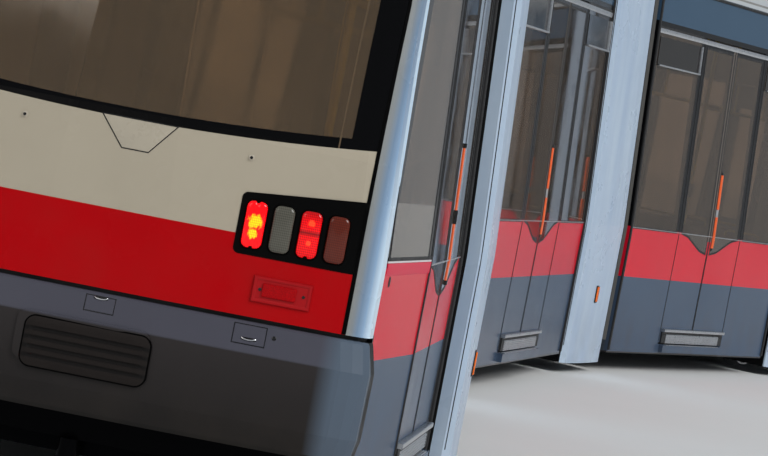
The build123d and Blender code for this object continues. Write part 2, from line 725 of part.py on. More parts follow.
def bellows_between(frame_a, x_a, frame_b, x_b):
    """Tube from the plane x = x_a of frame_a to the plane x = x_b of frame_b."""
    def tube(thickness):
        low, belt, top = BELLOWS
        rows = [(low[0] + thickness, low[1] - thickness), (belt[0], belt[1] - thickness),
                (top[0] - thickness, top[1] - thickness)]
        ring = [(-w, z) for z, w in rows] + [(w, z) for z, w in reversed(rows)]
        wires = []
        for frame, x in ((frame_a, x_a), (frame_b, x_b)):
            points = [(frame * Location((x, y, z))).position for y, z in ring]
            wires.append(Wire.make_polygon(points, close=True))
        return Solid.make_loft(wires, ruled=True)
    return tube(0.0) - tube(BELLOWS_T)


# Pantograph on the middle module, folded: base, lower arm, upper arm, bow
PAN_X = 2250.0
PAN_Z = ROOF_Z + 140.0
KNEE_X = 3550.0
KNEE_Z = PAN_Z + 25.0
HEAD_X = 2420.0
HEAD_Z = PAN_Z + 70.0
PAN_FEET = (PAN_X - 270.0, PAN_X + 650.0)
PAN_RAIL_Y = 380.0
PAN_RAIL = (ROOF_Z + 55.0, ROOF_Z + 95.0)
FOOT_PIN, KNEE_PIN, HEAD_PIN = 14.0, 13.0, 11.0
LOWER_HALF = 36.0           # half width of the lower arm's bosses
UPPER_IN, UPPER_OUT = 44.0, 72.0
STRIPS_AT = 170.0
STRIP_W = 44.0
STRIP = ((640.0, 2.0), (845.0, -72.0), (860.0, -62.0), (650.0, 34.0))    # half outline: y, height


def build_pan_base():
    feet = [rod("z", (x, y, 0), 45.0, ROOF_Z, ROOF_Z + 60.0)
            for x in PAN_FEET for y in (-PAN_RAIL_Y, PAN_RAIL_Y)]
    rails = [block(PAN_FEET[0] - 50.0, PAN_FEET[1] + 50.0, y - 30.0, y + 30.0, *PAN_RAIL)
             for y in (-PAN_RAIL_Y, PAN_RAIL_Y)]
    beams = [block(x - 35.0, x + 35.0, -PAN_RAIL_Y - 20.0, PAN_RAIL_Y + 20.0, *PAN_RAIL)
             for x in (PAN_FEET[0], PAN_X, PAN_FEET[1])]
    outline = [(PAN_X - 45, PAN_RAIL[1] - 5), (PAN_X + 45, PAN_RAIL[1] - 5),
               (PAN_X + 24, PAN_Z + 22), (PAN_X - 24, PAN_Z + 22)]
    lugs = [prism_y(outline, hand * UPPER_IN, hand * (UPPER_IN + 20.0)) for hand in (-1, 1)]
    reach = UPPER_IN + 20.0
    pin = rod("y", (PAN_X, 0, PAN_Z), FOOT_PIN, -reach, reach)
    return fuse(feet + rails + beams + lugs + [pin])


def build_pan_lower():
    tube = block(PAN_X, KNEE_X, -30.0, 30.0, PAN_Z - 18.0, PAN_Z + 18.0)
    foot = rod("y", (PAN_X, 0, PAN_Z), 32.0, -LOWER_HALF, LOWER_HALF)
    knee = rod("y", (KNEE_X, 0, KNEE_Z), 34.0, -LOWER_HALF, LOWER_HALF)
    bores = [rod("y", (PAN_X, 0, PAN_Z), FOOT_PIN + FIT, -UPPER_OUT, UPPER_OUT),
             rod("y", (KNEE_X, 0, KNEE_Z), KNEE_PIN + FIT, -UPPER_OUT, UPPER_OUT)]
    return cut(fuse([tube, foot, knee]), bores)


def build_pan_upper():
    pieces = []
    for hand in (-1, 1):
        y0, y1 = hand * UPPER_IN, hand * UPPER_OUT
        pieces.append(block(HEAD_X - 30.0, KNEE_X + 30.0, y0, y1, KNEE_Z - 16.0, KNEE_Z + 16.0))
        pieces.append(block(HEAD_X - 30.0, HEAD_X + 30.0, y0, y1, KNEE_Z, HEAD_Z + 24.0))
    pieces.append(rod("y", (KNEE_X, 0, KNEE_Z), KNEE_PIN, -UPPER_OUT, UPPER_OUT))
    pieces.append(rod("y", (HEAD_X, 0, HEAD_Z), HEAD_PIN, -UPPER_OUT, UPPER_OUT))
    return fuse(pieces)


def build_pan_head():
    """Bow with two contact strips that droop to their horns."""
    boss = rod("y", (HEAD_X, 0, HEAD_Z), 24.0, -LOWER_HALF, LOWER_HALF)
    stem = block(HEAD_X - 16.0, HEAD_X + 16.0, -30.0, 30.0, HEAD_Z, HEAD_Z + 60.0)
    cross = block(HEAD_X - STRIPS_AT - 20.0, HEAD_X + STRIPS_AT + 20.0, -30.0, 30.0,
                  HEAD_Z + 48.0, HEAD_Z + 74.0)
    strip_z = HEAD_Z + 70.0
    outline = [(y, strip_z + dz) for y, dz in STRIP]
    outline += [(-y, z) for y, z in reversed(outline)]
    strips = [prism_x(outline, x - STRIP_W / 2.0, x + STRIP_W / 2.0)
              for x in (HEAD_X - STRIPS_AT, HEAD_X + STRIPS_AT)]
    bore = rod("y", (HEAD_X, 0, HEAD_Z), HEAD_PIN + FIT, -UPPER_OUT, UPPER_OUT)
    return fuse([boss, stem, cross] + strips) - bore


# Modules
for k in (1, 2, 3, 4, 5):
    body, doors, glass, shell, glass_skin, door = build_shell(k)
    if k in END_NAME:
        panels = build_end(k, body, shell, glass_skin)
        body = panels.pop("body")
        for name, shape in panels.items():
            save(END_NAME[k] + "_" + name, shape, MODULE[k])
    carriage = [fuse([body, sill(door)] + [roof_unit(*size) for size in ROOF_UNITS[k]])]
    carriage += jack_pads(SIDE[k])
    if k in END_NAME:
        carriage.append(tow_lug(SIDE[k]))
    if k > 1:
        carriage.append(tongue(1.0, *TONGUE_B))
    if k < 5:
        carriage.append(Pos(0.0 if k == 1 else PITCH, 0, 0) * tongue(-1.0, *TONGUE_A))
    save("body_%d" % k, carriage, MODULE[k])
    save("doors_%d" % k, doors, MODULE[k])
    save("glass_%d" % k, glass, MODULE[k])
    save("interior_%d" % k, interior(k, door), MODULE[k])
save("cab", build_cab(), MODULE[5])

# Portals with their wheels and bellows
arch, drive = build_portal(), build_drive()
wheel_left, wheel_right = build_wheel(1.0), build_wheel(-1.0)
for k in (1, 2, 3, 4):
    save("portal_%d" % k, arch, PORTAL[k])
    save("drive_%d" % k, drive, PORTAL[k])
    save("wheel_%d_l" % k, wheel_left, PORTAL[k])
    save("wheel_%d_r" % k, wheel_right, PORTAL[k])
    rear_end = -START if k == 1 else END
    rings = [
        bellows_between(MODULE[k], rear_end, PORTAL[k], -PORTAL_HALF),
        bellows_between(PORTAL[k], PORTAL_HALF, MODULE[k + 1], START),
    ]
    save("bellows_%d" % k, rings, Location((0, 0, 0)))

save("pan_base", build_pan_base(), MODULE[3])
save("pan_lower", build_pan_lower(), MODULE[3])
save("pan_upper", build_pan_upper(), MODULE[3])
save("pan_head", build_pan_head(), MODULE[3])
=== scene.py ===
"""Finishes, trim and studio of an articulated five-module tram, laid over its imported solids."""

import json
import math

import bmesh
import bpy
from bpy.props import FloatProperty, FloatVectorProperty, IntProperty, PointerProperty
from mathutils import Matrix, Vector
from mathutils.bvhtree import BVHTree

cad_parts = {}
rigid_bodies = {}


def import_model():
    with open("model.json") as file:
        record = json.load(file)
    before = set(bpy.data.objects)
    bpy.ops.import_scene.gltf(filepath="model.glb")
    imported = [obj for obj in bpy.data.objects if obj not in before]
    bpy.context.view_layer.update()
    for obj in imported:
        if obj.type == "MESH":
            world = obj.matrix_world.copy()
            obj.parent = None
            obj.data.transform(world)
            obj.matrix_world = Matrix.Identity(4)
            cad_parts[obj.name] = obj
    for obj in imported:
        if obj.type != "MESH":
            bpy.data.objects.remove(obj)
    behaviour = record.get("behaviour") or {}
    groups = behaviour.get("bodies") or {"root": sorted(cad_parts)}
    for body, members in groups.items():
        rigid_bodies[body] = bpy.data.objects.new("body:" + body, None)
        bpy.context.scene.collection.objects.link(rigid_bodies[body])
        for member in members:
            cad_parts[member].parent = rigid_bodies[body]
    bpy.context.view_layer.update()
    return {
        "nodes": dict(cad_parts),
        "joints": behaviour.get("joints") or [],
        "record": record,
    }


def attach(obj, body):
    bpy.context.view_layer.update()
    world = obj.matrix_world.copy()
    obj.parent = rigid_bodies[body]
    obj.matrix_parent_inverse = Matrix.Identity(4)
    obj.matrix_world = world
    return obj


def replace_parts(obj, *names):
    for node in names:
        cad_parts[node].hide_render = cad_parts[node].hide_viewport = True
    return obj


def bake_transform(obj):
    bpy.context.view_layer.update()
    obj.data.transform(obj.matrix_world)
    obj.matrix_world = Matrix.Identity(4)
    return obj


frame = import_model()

bl_info = {
    "name": "Articulated tram finishes",
    "version": (1, 0, 0),
    "blender": (4, 5, 0),
    "location": "View3D > Sidebar > Tram",
    "description": "Finishes, trim, folded bellows and studio for a five-module low-floor tram",
    "category": "Object",
}

NODES = frame["nodes"]
JOINTS = {joint["name"]: joint for joint in frame["joints"]}
MOUNTS = {mount["name"]: mount for mount in frame["record"]["mounts"]}

# Heights and widths of the vehicle, in metres, as the solids have them
SKIRT_Z = 0.145
FLOOR_Z = 0.225
BELT_Z = 1.085
WINDOW_TOP = 2.585
EDGE_Z = 2.905
ROOF_Z = 3.025
HALF_W = 1.160
EDGE_W = 1.060
START = 0.840
END = 4.790
OVERHANG = 3.660
TAPER_START = 2.440
PILLAR_X = 3.450
# Dark strip of the bumper beside the skirt: a joint, widened by painted shade of the gap
LIP_SHADE = 0.070         # dark lip of the bumper beside the skirt
BAND_Z = 0.710      # foot of the red band
PILLAR_FOOT = 1.100
PILLAR_LEAN = 0.147
END_WALL = 0.004    # depth of the black end faces of modules and portals
TAPER = 0.085 / (PILLAR_X - TAPER_START)
BUMPER_TOP = 0.792
MASK_Z = 0.810
SCREEN_Z = {1: 1.500, 5: 1.205}
SCREEN_TOP = 2.645
SCREEN_EDGE = 0.820         # half width of the clear part
PAD_LANDS = (0.515, 0.599)      # heights between the grooves of the solid pad
PAD_Y, PAD_Z = -0.021, 0.565    # middle of the pad's cover
PAD_W, PAD_H, PAD_R = 0.490, 0.192, 0.040
PAD_GROOVES = (0.509, 0.544, 0.579, 0.614)
BEZEL_Z = {1: 1.161, 5: 1.010}
CREAM_Z = {1: 1.118, 5: 0.967}
LENS_Y = (0.564, 0.670, 0.776, 0.882)
MASK_EDGE = 0.979
BROW = {1: (1.469, 0.054), 5: (1.205, 0.0)}      # height in the middle, rise at the corners
FACE_MIDDLE = -0.060        # where the washer flap and jets sit
AXLE_Z = 0.365
WHEEL_R = 0.340
WHEEL_FACE_Y = 0.7565       # outer face of a wheel's web
BOLT_RING = 0.135
# How far the silver wraps round each portal's end faces; past it the end face is near black as
# painted shade of the gap beside the module, so the widths differ from portal to portal
PORTAL_WRAP = {1: 0.105, 2: 0.060, 3: 0.030, 4: 0.060}     # silver paint on the end faces
SIDE = {1: -1.0, 5: 1.0}    # end modules, and where their outer ends point
HANDS = (-1.0, 1.0)         # door side and far side
END_NAME = {1: "rear", 5: "front"}


# Places in the curve
def flat(point):
    return Vector((point[0], point[1], 0.0))


def bearing(a, b):
    return math.atan2(b.y - a.y, b.x - a.x)


def placed(origin, turn):
    return Matrix.Translation(origin) @ Matrix.Rotation(turn, 4, "Z")


PIVOT = {k: flat(JOINTS["portal_%d_pivot" % k]["pos_m"]) for k in (1, 2, 3, 4)}
TOW_EYE = {1: flat(MOUNTS["rear_tow_eye"]["pos_m"]), 5: flat(MOUNTS["front_tow_eye"]["pos_m"])}
HEADING = {
    1: bearing(TOW_EYE[1], PIVOT[1]),
    2: bearing(PIVOT[1], PIVOT[2]),
    3: bearing(PIVOT[2], PIVOT[3]),
    4: bearing(PIVOT[3], PIVOT[4]),
    5: bearing(PIVOT[4], TOW_EYE[5]),
}
MODULE = {k: placed(PIVOT[max(1, k - 1)], HEADING[k]) for k in HEADING}
PORTAL = {k: placed(PIVOT[k], (HEADING[k] + HEADING[k + 1]) / 2.0) for k in PIVOT}
ENDS = {k: (-OVERHANG, -START) if k == 1 else (START, OVERHANG) if k == 5 else (START, END)
        for k in MODULE}


def corners(points):
    """Low and high corners of the box round some points."""
    return Vector(map(min, *points)), Vector(map(max, *points))


def steps(start, end, count):
    """Numbers from start to end in equal steps."""
    return [start + (end - start) * i / count for i in range(count + 1)]


# Half length of a portal, and how far it stands proud of the modules
PORTAL_CORNER = corners([PORTAL[1].inverted() @ vertex.co
                         for vertex in NODES["portal_1"].data.vertices])[1]
PORTAL_HALF = PORTAL_CORNER.x
STAND = PORTAL_CORNER.y - HALF_W


def islands(name, place):
    """Mesh of a node in the coordinates of a place, and the faces of its loose parts in order."""
    mesh = bmesh.new()
    mesh.from_mesh(NODES[name].data)
    bmesh.ops.remove_doubles(mesh, verts=mesh.verts, dist=0.0001)
    mesh.transform(place.inverted())
    seen, groups = set(), []
    for first in mesh.verts:
        faces, edge = {}, [first]
        while edge:
            vertex = edge.pop()
            if vertex not in seen:
                seen.add(vertex)
                faces.update(dict.fromkeys(vertex.link_faces))
                edge += [link.other_vert(vertex) for link in vertex.link_edges]
        if faces:
            groups.append(list(faces))
    mesh.normal_update()
    return mesh, groups


TREES = {}


def skin_of(names):
    """Search tree over the faces of some nodes, in the row frame."""
    if names not in TREES:
        points, faces = [], []
        for name in names:
            base = len(points)
            data = NODES[name].data
            points += [vertex.co for vertex in data.vertices]
            faces += [[base + i for i in polygon.vertices] for polygon in data.polygons]
        TREES[names] = BVHTree.FromPolygons(points, faces)
    return TREES[names]


def seat(place, start, direction, names):
    """Point and outward normal where a line from start meets the nodes, in the place's frame."""
    origin = place @ Vector(start)
    way = place.to_3x3() @ Vector(direction)
    point, normal, _, _ = skin_of(tuple(names)).ray_cast(origin, way)
    if point is None:
        raise RuntimeError("no skin under %s of %s" % (tuple(start), names))
    if normal.dot(way) > 0.0:
        normal = -normal
    return place.inverted() @ point, place.to_3x3().inverted() @ normal


def nose_seat(k, y, z):
    """Seat on the outside of an end module's nose."""
    names = [END_NAME[k] + "_" + part for part in ("mask", "screen", "bumper", "frame", "lamps")]
    side = SIDE[k]
    return seat(MODULE[k], (side * (OVERHANG + 1.0), y, z), (-side, 0.0, 0.0), names)


def wall_seat(k, x, z, hand):
    """Seat on the outer side wall of a module; hand is -1 on the door side."""
    names = ["body_%d" % k, "doors_%d" % k, "glass_%d" % k]
    if k in END_NAME:
        names += [END_NAME[k] + "_" + part for part in ("frame", "bumper", "lamps", "screen")]
    return seat(MODULE[k], (x, hand * 2.0, z), (0.0, -hand, 0.0), names)


def facing(point, normal, up=(0.0, 0.0, 1.0)):
    """Frame at a point: X to the right and Y up as seen from outside, Z along the normal."""
    z = Vector(normal).normalized()
    x = Vector(up).cross(z).normalized()
    y = z.cross(x)
    return Matrix.Translation(point) @ Matrix((x, y, z)).transposed().to_4x4()


def nose_spot(k, y, z):
    """Frame on the outside of an end module's nose."""
    return facing(*nose_seat(k, y, z))


def wall_spot(k, x, z, hand):
    """Frame on the outer side wall of a module."""
    return facing(*wall_seat(k, x, z, hand))


# Outlines, as closed lists of (x, y) that run anticlockwise
def rectangle(width, height):
    w, h = width / 2.0, height / 2.0
    return [(-w, -h), (w, -h), (w, h), (-w, h)]


def rounded(width, height, radius, parts=4):
    """Rectangle with round corners, each in a number of parts."""
    points = []
    for sx, sy, start in ((1, -1, -90), (1, 1, 0), (-1, 1, 90), (-1, -1, 180)):
        cx, cy = sx * (width / 2.0 - radius), sy * (height / 2.0 - radius)
        for i in range(parts + 1):
            turn = math.radians(start + 90.0 * i / parts)
            points.append((cx + radius * math.cos(turn), cy + radius * math.sin(turn)))
    return points


def circle(radius, sides=16):
    return [(radius * math.cos(2.0 * math.pi * i / sides),
             radius * math.sin(2.0 * math.pi * i / sides)) for i in range(sides)]


def corners_of(loop):
    """Each point of a closed loop with the ones before and after it."""
    return zip(loop[-1:] + loop[:-1], loop, loop[1:] + loop[:1])


def inset(outline, depth):
    """Outline moved inwards by depth, with mitred corners."""
    result = []
    for before, here, after in corners_of([Vector(point) for point in outline]):
        a, b = (here - before).normalized(), (after - here).normalized()
        normal = Vector((-a.y - b.y, a.x + b.x))
        if normal.length < 1e-6:
            normal = Vector((-a.y, a.x))
        normal.normalize()
        stretch = max(0.35, normal.dot(Vector((-a.y, a.x))))
        result.append(tuple(here + normal * (depth / stretch)))
    return result


def flat_band(half, out, root=-0.004):
    """Section of a flat strip, as points (across, out)."""
    return [(-half, root), (-half, out), (half, out), (half, root)]


def across(spot, section):
    """Points of a section (across, out) that stands on a frame."""
    return [spot @ Vector((u, 0.0, out)) for u, out in section]


def in_scene(name, data):
    """New object for some data, in the scene."""
    made = bpy.data.objects.new(name, data)
    bpy.context.scene.collection.objects.link(made)
    return made


def smooth(data, degrees):
    """Smooth shading up to an angle, and sharp edges past it."""
    data.polygons.foreach_set("use_smooth", [True] * len(data.polygons))
    data.set_sharp_from_angle(angle=math.radians(degrees))


class Piece:
    """A mesh in the making, in the coordinates of one place, with a list of finishes."""

    def __init__(self, name, place, *finishes):
        self.name = name
        self.place = place
        self.finishes = finishes
        self.mesh = bmesh.new()
        self.finish = 0

    def face(self, vertices):
        self.mesh.faces.new(vertices).material_index = self.finish

    def loft(self, rings, closed=False):
        """Skin through rings of points, with end caps unless the last joins the first."""
        rows = [[self.mesh.verts.new(point) for point in ring] for ring in rings]
        pairs = list(zip(rows, rows[1:]))
        if closed:
            pairs.append((rows[-1], rows[0]))
        for low, high in pairs:
            for i in range(len(low)):
                j = (i + 1) % len(low)
                self.face((low[i], low[j], high[j], high[i]))
        if not closed:
            self.face(list(reversed(rows[0])))
            self.face(rows[-1])

    def plate(self, spot, outline, layers, closed=False):
        """Plate on a frame from rows of (inset, height): its profile from root to crown."""
        self.loft([[spot @ Vector((x, y, height)) for x, y in inset(outline, depth)]
                   for depth, height in layers], closed)

    def ring(self, spot, outline, layers):
        """Closed frame round an outline from rows of (inset, height) round its section."""
        self.plate(spot, outline, layers, closed=True)

    def strip(self, spots, section):
        """Strip of one section (across, out) along a row of frames."""
        self.loft([across(spot, section) for spot in spots])

    def bar(self, start, end, width, height, edge=0.0, up=(0.0, 0.0, 1.0)):
        """Straight bar with chamfered long edges."""
        start, end = Vector(start), Vector(end)
        spot = facing(start, end - start, up)
        section = rounded(width, height, edge, 2) if edge else rectangle(width, height)
        self.loft([[spot @ Vector((x, y, z)) for x, y in section]
                   for z in (0.0, (end - start).length)])

    def tube(self, points, radius, sides=10):
        """Round tube along a path of points."""
        points = [Vector(point) for point in points]
        rings = []
        for i, point in enumerate(points):
            way = points[min(i + 1, len(points) - 1)] - points[max(i - 1, 0)]
            up = (0.0, 0.0, 1.0) if abs(way.normalized().z) < 0.9 else (1.0, 0.0, 0.0)
            spot = facing(point, way, up)
            rings.append([spot @ Vector((x, y, 0.0)) for x, y in circle(radius, sides)])
        self.loft(rings)

    def lathe(self, spot, rows, sides=24):
        """Turned shape on a frame's Z axis from rows of (radius, height)."""
        self.loft([[spot @ Vector((x, y, height)) for x, y in circle(radius, sides)]
                   for radius, height in rows])

    def done(self, body=None):
        """Turns the mesh into an object with outward faces, riding on its body."""
        bmesh.ops.recalc_face_normals(self.mesh, faces=self.mesh.faces)
        self.mesh.transform(self.place)
        data = bpy.data.meshes.new(self.name)
        self.mesh.to_mesh(data)
        self.mesh.free()
        obj = in_scene(self.name, data)
        for material in self.finishes:
            data.materials.append(material)
        smooth(data, 35.0)
        if body is not None:
            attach(obj, body)
        return obj


# Colours are written as red, green and blue from 0 to 255 and kept as linear values
def tone(red, green, blue):
    def linear(value):
        value /= 255.0
        return value / 12.92 if value <= 0.04045 else ((value + 0.055) / 1.055) ** 2.4
    return (linear(red), linear(green), linear(blue))


def colour(name, description, default):
    return FloatVectorProperty(name=name, description=description, subtype="COLOR", size=3,
                               min=0.0, max=1.0, default=default)


def length(name, description, default):
    return FloatProperty(name=name, description=description, default=default, min=0.0,
                         subtype="DISTANCE", unit="LENGTH", precision=4)


def number(name, description, default, low=0.0):
    return FloatProperty(name=name, description=description, default=default, min=low)


class TramLivery(bpy.types.PropertyGroup):
    """Colours of the vehicle."""
    # Cream and red of the ends are darkened as painted shade of the end faces; the red is a shaded
    # copy of the side red
    cream: colour("Cream", "Paint round the lamps of both ends", tone(166, 157, 140))
    red: colour("Red", "Paint of the lower part of both ends", tone(168, 0, 8))
    side_red: colour("Side red", "Paint of the band along the sides", tone(208, 20, 44))
    skirt: colour("Skirt", "Paint below the red band", tone(62, 79, 101))
    # The ledge colour is a painted sky reflection: the same dark bumper, lighter where it faces up
    ledge: colour("Ledge", "Upper edge of both bumpers, turned to the sky", tone(66, 66, 76))
    pillar: colour("Pillar", "Light edge of the end pillars", tone(194, 214, 230))
    frieze: colour("Frieze", "Panels above the windows", tone(56, 80, 102))
    roof: colour("Roof", "Roof and its housings", tone(176, 180, 182))
    silver: colour("Silver", "Paint of the portals", tone(180, 196, 212))
    lining: colour("Lining", "Inner walls and ceiling", tone(128, 126, 122))
    rubber: colour("Rubber", "Seals and bellows", tone(20, 20, 22))
    orange: colour("Orange", "Edge strips and side reflectors", tone(236, 92, 18))


class TramTrim(bpy.types.PropertyGroup):
    """Sizes of the small trim."""
    seal_width: length("Seal width", "Width of a window seal on the glass", 0.012)
    seal_height: length("Seal height", "How far a window seal stands off the skin", 0.002)
    strip_width: length("Strip width", "Width of the edge bars on the doors", 0.044)
    screw_radius: length("Screw radius", "Radius of a panel screw's head", 0.007)
    screw_height: length("Screw height", "Height of a panel screw's head", 0.003)
    step_rib: length("Step rib", "Radius of the ribs on the door steps", 0.004)
    folds: IntProperty(name="Folds", description="Folds of one bellows", default=7, min=2, max=20)
    fold_depth: length("Fold depth", "Height of a bellows fold", 0.034)


class TramStudio(bpy.types.PropertyGroup):
    """Camera and lamps."""
    lens: number("Lens", "Focal length of the camera, in millimetres", 200.5, 10.0)
    key: number("Key lamp", "Strength of the soft sun over the door side", 1.9)
    fill: number("Fill lamp", "Radiant power of the lamp over the end", 420.0)
    world: number("World", "Strength of the even light from all round", 0.42)


SOIL = tone(72, 62, 52)


def livery():
    return bpy.context.scene.tram_livery


def trim():
    return bpy.context.scene.tram_trim


def sign(operation, turned=False):
    """Sign of arithmetic that adds a Math node; turned swaps the two numbers."""
    def apply(self, *others):
        return self.made.maths(operation, *((*others, self) if turned else (self, *others)))
    return apply


class Value:
    """Number in a node tree that takes the signs of arithmetic and comparison."""

    def __init__(self, made, socket):
        self.made = made
        self.socket = socket

    __add__, __sub__, __rsub__ = sign("ADD"), sign("SUBTRACT"), sign("SUBTRACT", True)
    __mul__, __truediv__, __abs__ = sign("MULTIPLY"), sign("DIVIDE"), sign("ABSOLUTE")
    __gt__, __lt__ = sign("GREATER_THAN"), sign("LESS_THAN")


class Tree:
    """A node tree in the making."""

    def feed(self, socket, value):
        """Links a socket or a Value, or sets a constant."""
        if isinstance(value, Value):
            value = value.socket
        if isinstance(value, bpy.types.NodeSocket):
            self.tree.links.new(value, socket)
        elif socket.type == "RGBA":
            socket.default_value = (*value, 1.0)
        else:
            socket.default_value = value

    def maths(self, operation, *values):
        node = self.tree.nodes.new("ShaderNodeMath")
        node.operation = operation
        for socket, value in zip(node.inputs, values):
            self.feed(socket, value)
        return Value(self, node.outputs[0])


class Finish(Tree):
    """A node material in the making."""

    def __init__(self, name, **sockets):
        self.material = bpy.data.materials.new(name)
        self.material.use_nodes = True
        self.tree = self.material.node_tree
        self.shader = self.tree.nodes["Principled BSDF"]
        self.object_vector = self.node("TexCoord").outputs["Object"]
        self.put(**sockets)

    def node(self, kind, *values, **settings):
        """New node with its inputs filled in order."""
        made = self.tree.nodes.new("ShaderNode" + kind)
        for name, value in settings.items():
            setattr(made, name, value)
        for socket, value in zip(made.inputs, values):
            self.feed(socket, value)
        return made

    def put(self, **sockets):
        """Fills the shader's sockets: words joined by _ name them."""
        for name, value in sockets.items():
            words = name.split("_")
            title = " ".join(word if word == "IOR" else word.capitalize() for word in words)
            self.feed(self.shader.inputs[title], value)

    def local(self, place, scale=None):
        """Object coordinates turned into those of a place, and stretched where asked."""
        mapping = self.node("Mapping", self.object_vector, place.to_translation(),
                            place.to_euler(), vector_type="TEXTURE")
        if scale is None:
            return mapping.outputs[0]
        stretch = self.node("Mapping", mapping.outputs[0])
        stretch.inputs["Scale"].default_value = scale
        return stretch.outputs[0]

    def split(self, vector):
        return [Value(self, part) for part in self.node("SeparateXYZ", vector).outputs]

    def reach(self, a, b):
        """Length of a way with two legs at right angles."""
        return self.maths("SQRT", a * a + b * b)

    def span(self, value, low, high, to_low=0.0, to_high=1.0):
        """Value from low to high mapped to a new range, held at its ends."""
        return Value(self, self.node("MapRange", value, low, high, to_low, to_high).outputs[0])

    def between(self, value, low, high):
        """1 where the value lies between two limits."""
        return (value > low) * (value < high)

    def noise(self, scale, detail=3.0, vector=None):
        made = self.node("TexNoise", vector or self.object_vector)
        made.inputs["Scale"].default_value = scale
        made.inputs["Detail"].default_value = detail
        made.inputs["Roughness"].default_value = 0.55
        return Value(self, made.outputs["Fac"])

    def blend(self, share, a, b, mode="MIX"):
        """Colour a with colour b laid over it by a share."""
        made = self.tree.nodes.new("ShaderNodeMix")
        made.data_type = "RGBA"
        made.blend_type = mode
        for i, value in ((0, share), (6, a), (7, b)):
            self.feed(made.inputs[i], value)
        return made.outputs[2]

    def shaded(self, shade, light):
        """Colour multiplied by a number."""
        grey = self.node("CombineColor", light, light, light).outputs[0]
        return self.blend(1.0, shade, grey, "MULTIPLY")

    def ramp(self, value, stops, kind="LINEAR"):
        """Colour ramp from rows of (place, colour)."""
        made = self.node("ValToRGB", value)
        made.color_ramp.interpolation = kind
        elements = made.color_ramp.elements
        while len(elements) < len(stops):
            elements.new(1.0)
        for element, (place, shade) in zip(elements, stops):
            element.position = place
            element.color = (*shade, 1.0)
        return made.outputs[0]

    def mottle(self, shade, amount, scale, detail=4.0, vector=None):
        """Colour that grows a little darker and lighter over the surface."""
        cloud = self.noise(scale, detail, vector)
        return self.shaded(shade, self.span(cloud, 0.25, 0.75, 1.0 - amount, 1.0 + amount * 0.6))

    def dirt(self, shade, height, top, bottom, strength):
        """Road dirt that thickens towards the bottom, broken up by noise."""
        fade = self.span(height, top, bottom)
        patch = self.span(self.noise(3.5, 6.0), 0.35, 0.7)
        return self.blend(fade * patch * strength, shade, SOIL)

    def rough(self, low, high, scale):
        """Roughness that varies between two values."""
        self.put(Roughness=self.span(self.noise(scale, 5.0), 0.3, 0.7, low, high))

    def grain(self, scale, distance, strength=0.4, detail=3.0):
        """Fine bump, in metres."""
        made = self.node("Bump")
        made.inputs["Strength"].default_value = strength
        made.inputs["Distance"].default_value = distance
        self.feed(made.inputs["Height"], self.noise(scale, detail))
        self.put(Normal=made.outputs[0])

    def above_brow(self, k, y, z):
        """How far z lies above the hanging lower edge of an end's screen."""
        low, lift = BROW[k]
        share = y / MASK_EDGE
        return z - low - share * share * lift

    def pillar_lean(self, k):
        """Share of the end pillar's paint on the side, and of the dark band beside it."""
        x, _, z = self.split(self.local(MODULE[k]))
        along = PILLAR_X - x * SIDE[k]
        rise = self.maths("MAXIMUM", z - PILLAR_FOOT, 0.0)
        lean = rise * PILLAR_LEAN
        pillar = (along < lean) * (z > PILLAR_FOOT + 0.005)
        return pillar, along < lean + (rise * 0.07 + 0.035)


def surface(name, shade, patches, rough, grain=None, **sockets):
    """Finish in one colour; patches, rough and grain are rows for mottle, rough and grain."""
    made = Finish(name, **sockets)
    made.put(Base_Color=made.mottle(shade, *patches))
    made.rough(*rough)
    if grain is not None:
        made.grain(*grain)
    return made.material


def plain_finish(name, shade, low, high, metallic=0.0, soiled=0.3, bump=0.0008):
    """Painted or bare surface with patches, dirt and a fine grain."""
    return surface(name, shade, (soiled, 7.0, 6.0), (low, high, 18.0), (220.0, bump, 0.35),
                   Metallic=metallic)


def dull_finish(name, shade):
    """Clean paint with little sheen."""
    return surface(name, shade, (0.06, 5.0), (0.4, 0.55, 9.0), Specular_IOR_Level=0.2)


def bellows_rubber():
    """Dusty black rubber that gets dirtier towards the road."""
    made = Finish("bellows_rubber")
    worn = made.mottle(livery().rubber, 0.4, 8.0, 6.0)
    made.put(Base_Color=made.dirt(worn, made.split(made.object_vector)[2], 1.6, 0.2, 0.45))
    made.rough(0.6, 0.85, 12.0)
    made.grain(260.0, 0.0012, 0.5)
    return made.material


def prism_reflector(name, shade):
    """Reflector plastic with small prisms under a clear face."""
    made = Finish(name, Coat_Weight=0.08, Coat_Roughness=0.04, Specular_IOR_Level=0.06)
    cells = made.node("TexVoronoi", made.object_vector)
    cells.inputs["Scale"].default_value = 220.0
    made.put(Base_Color=made.shaded(shade, made.span(cells.outputs["Distance"],
                                                     0.0, 0.8, 0.55, 1.35)))
    made.rough(0.12, 0.25, 30.0)
    return made.material


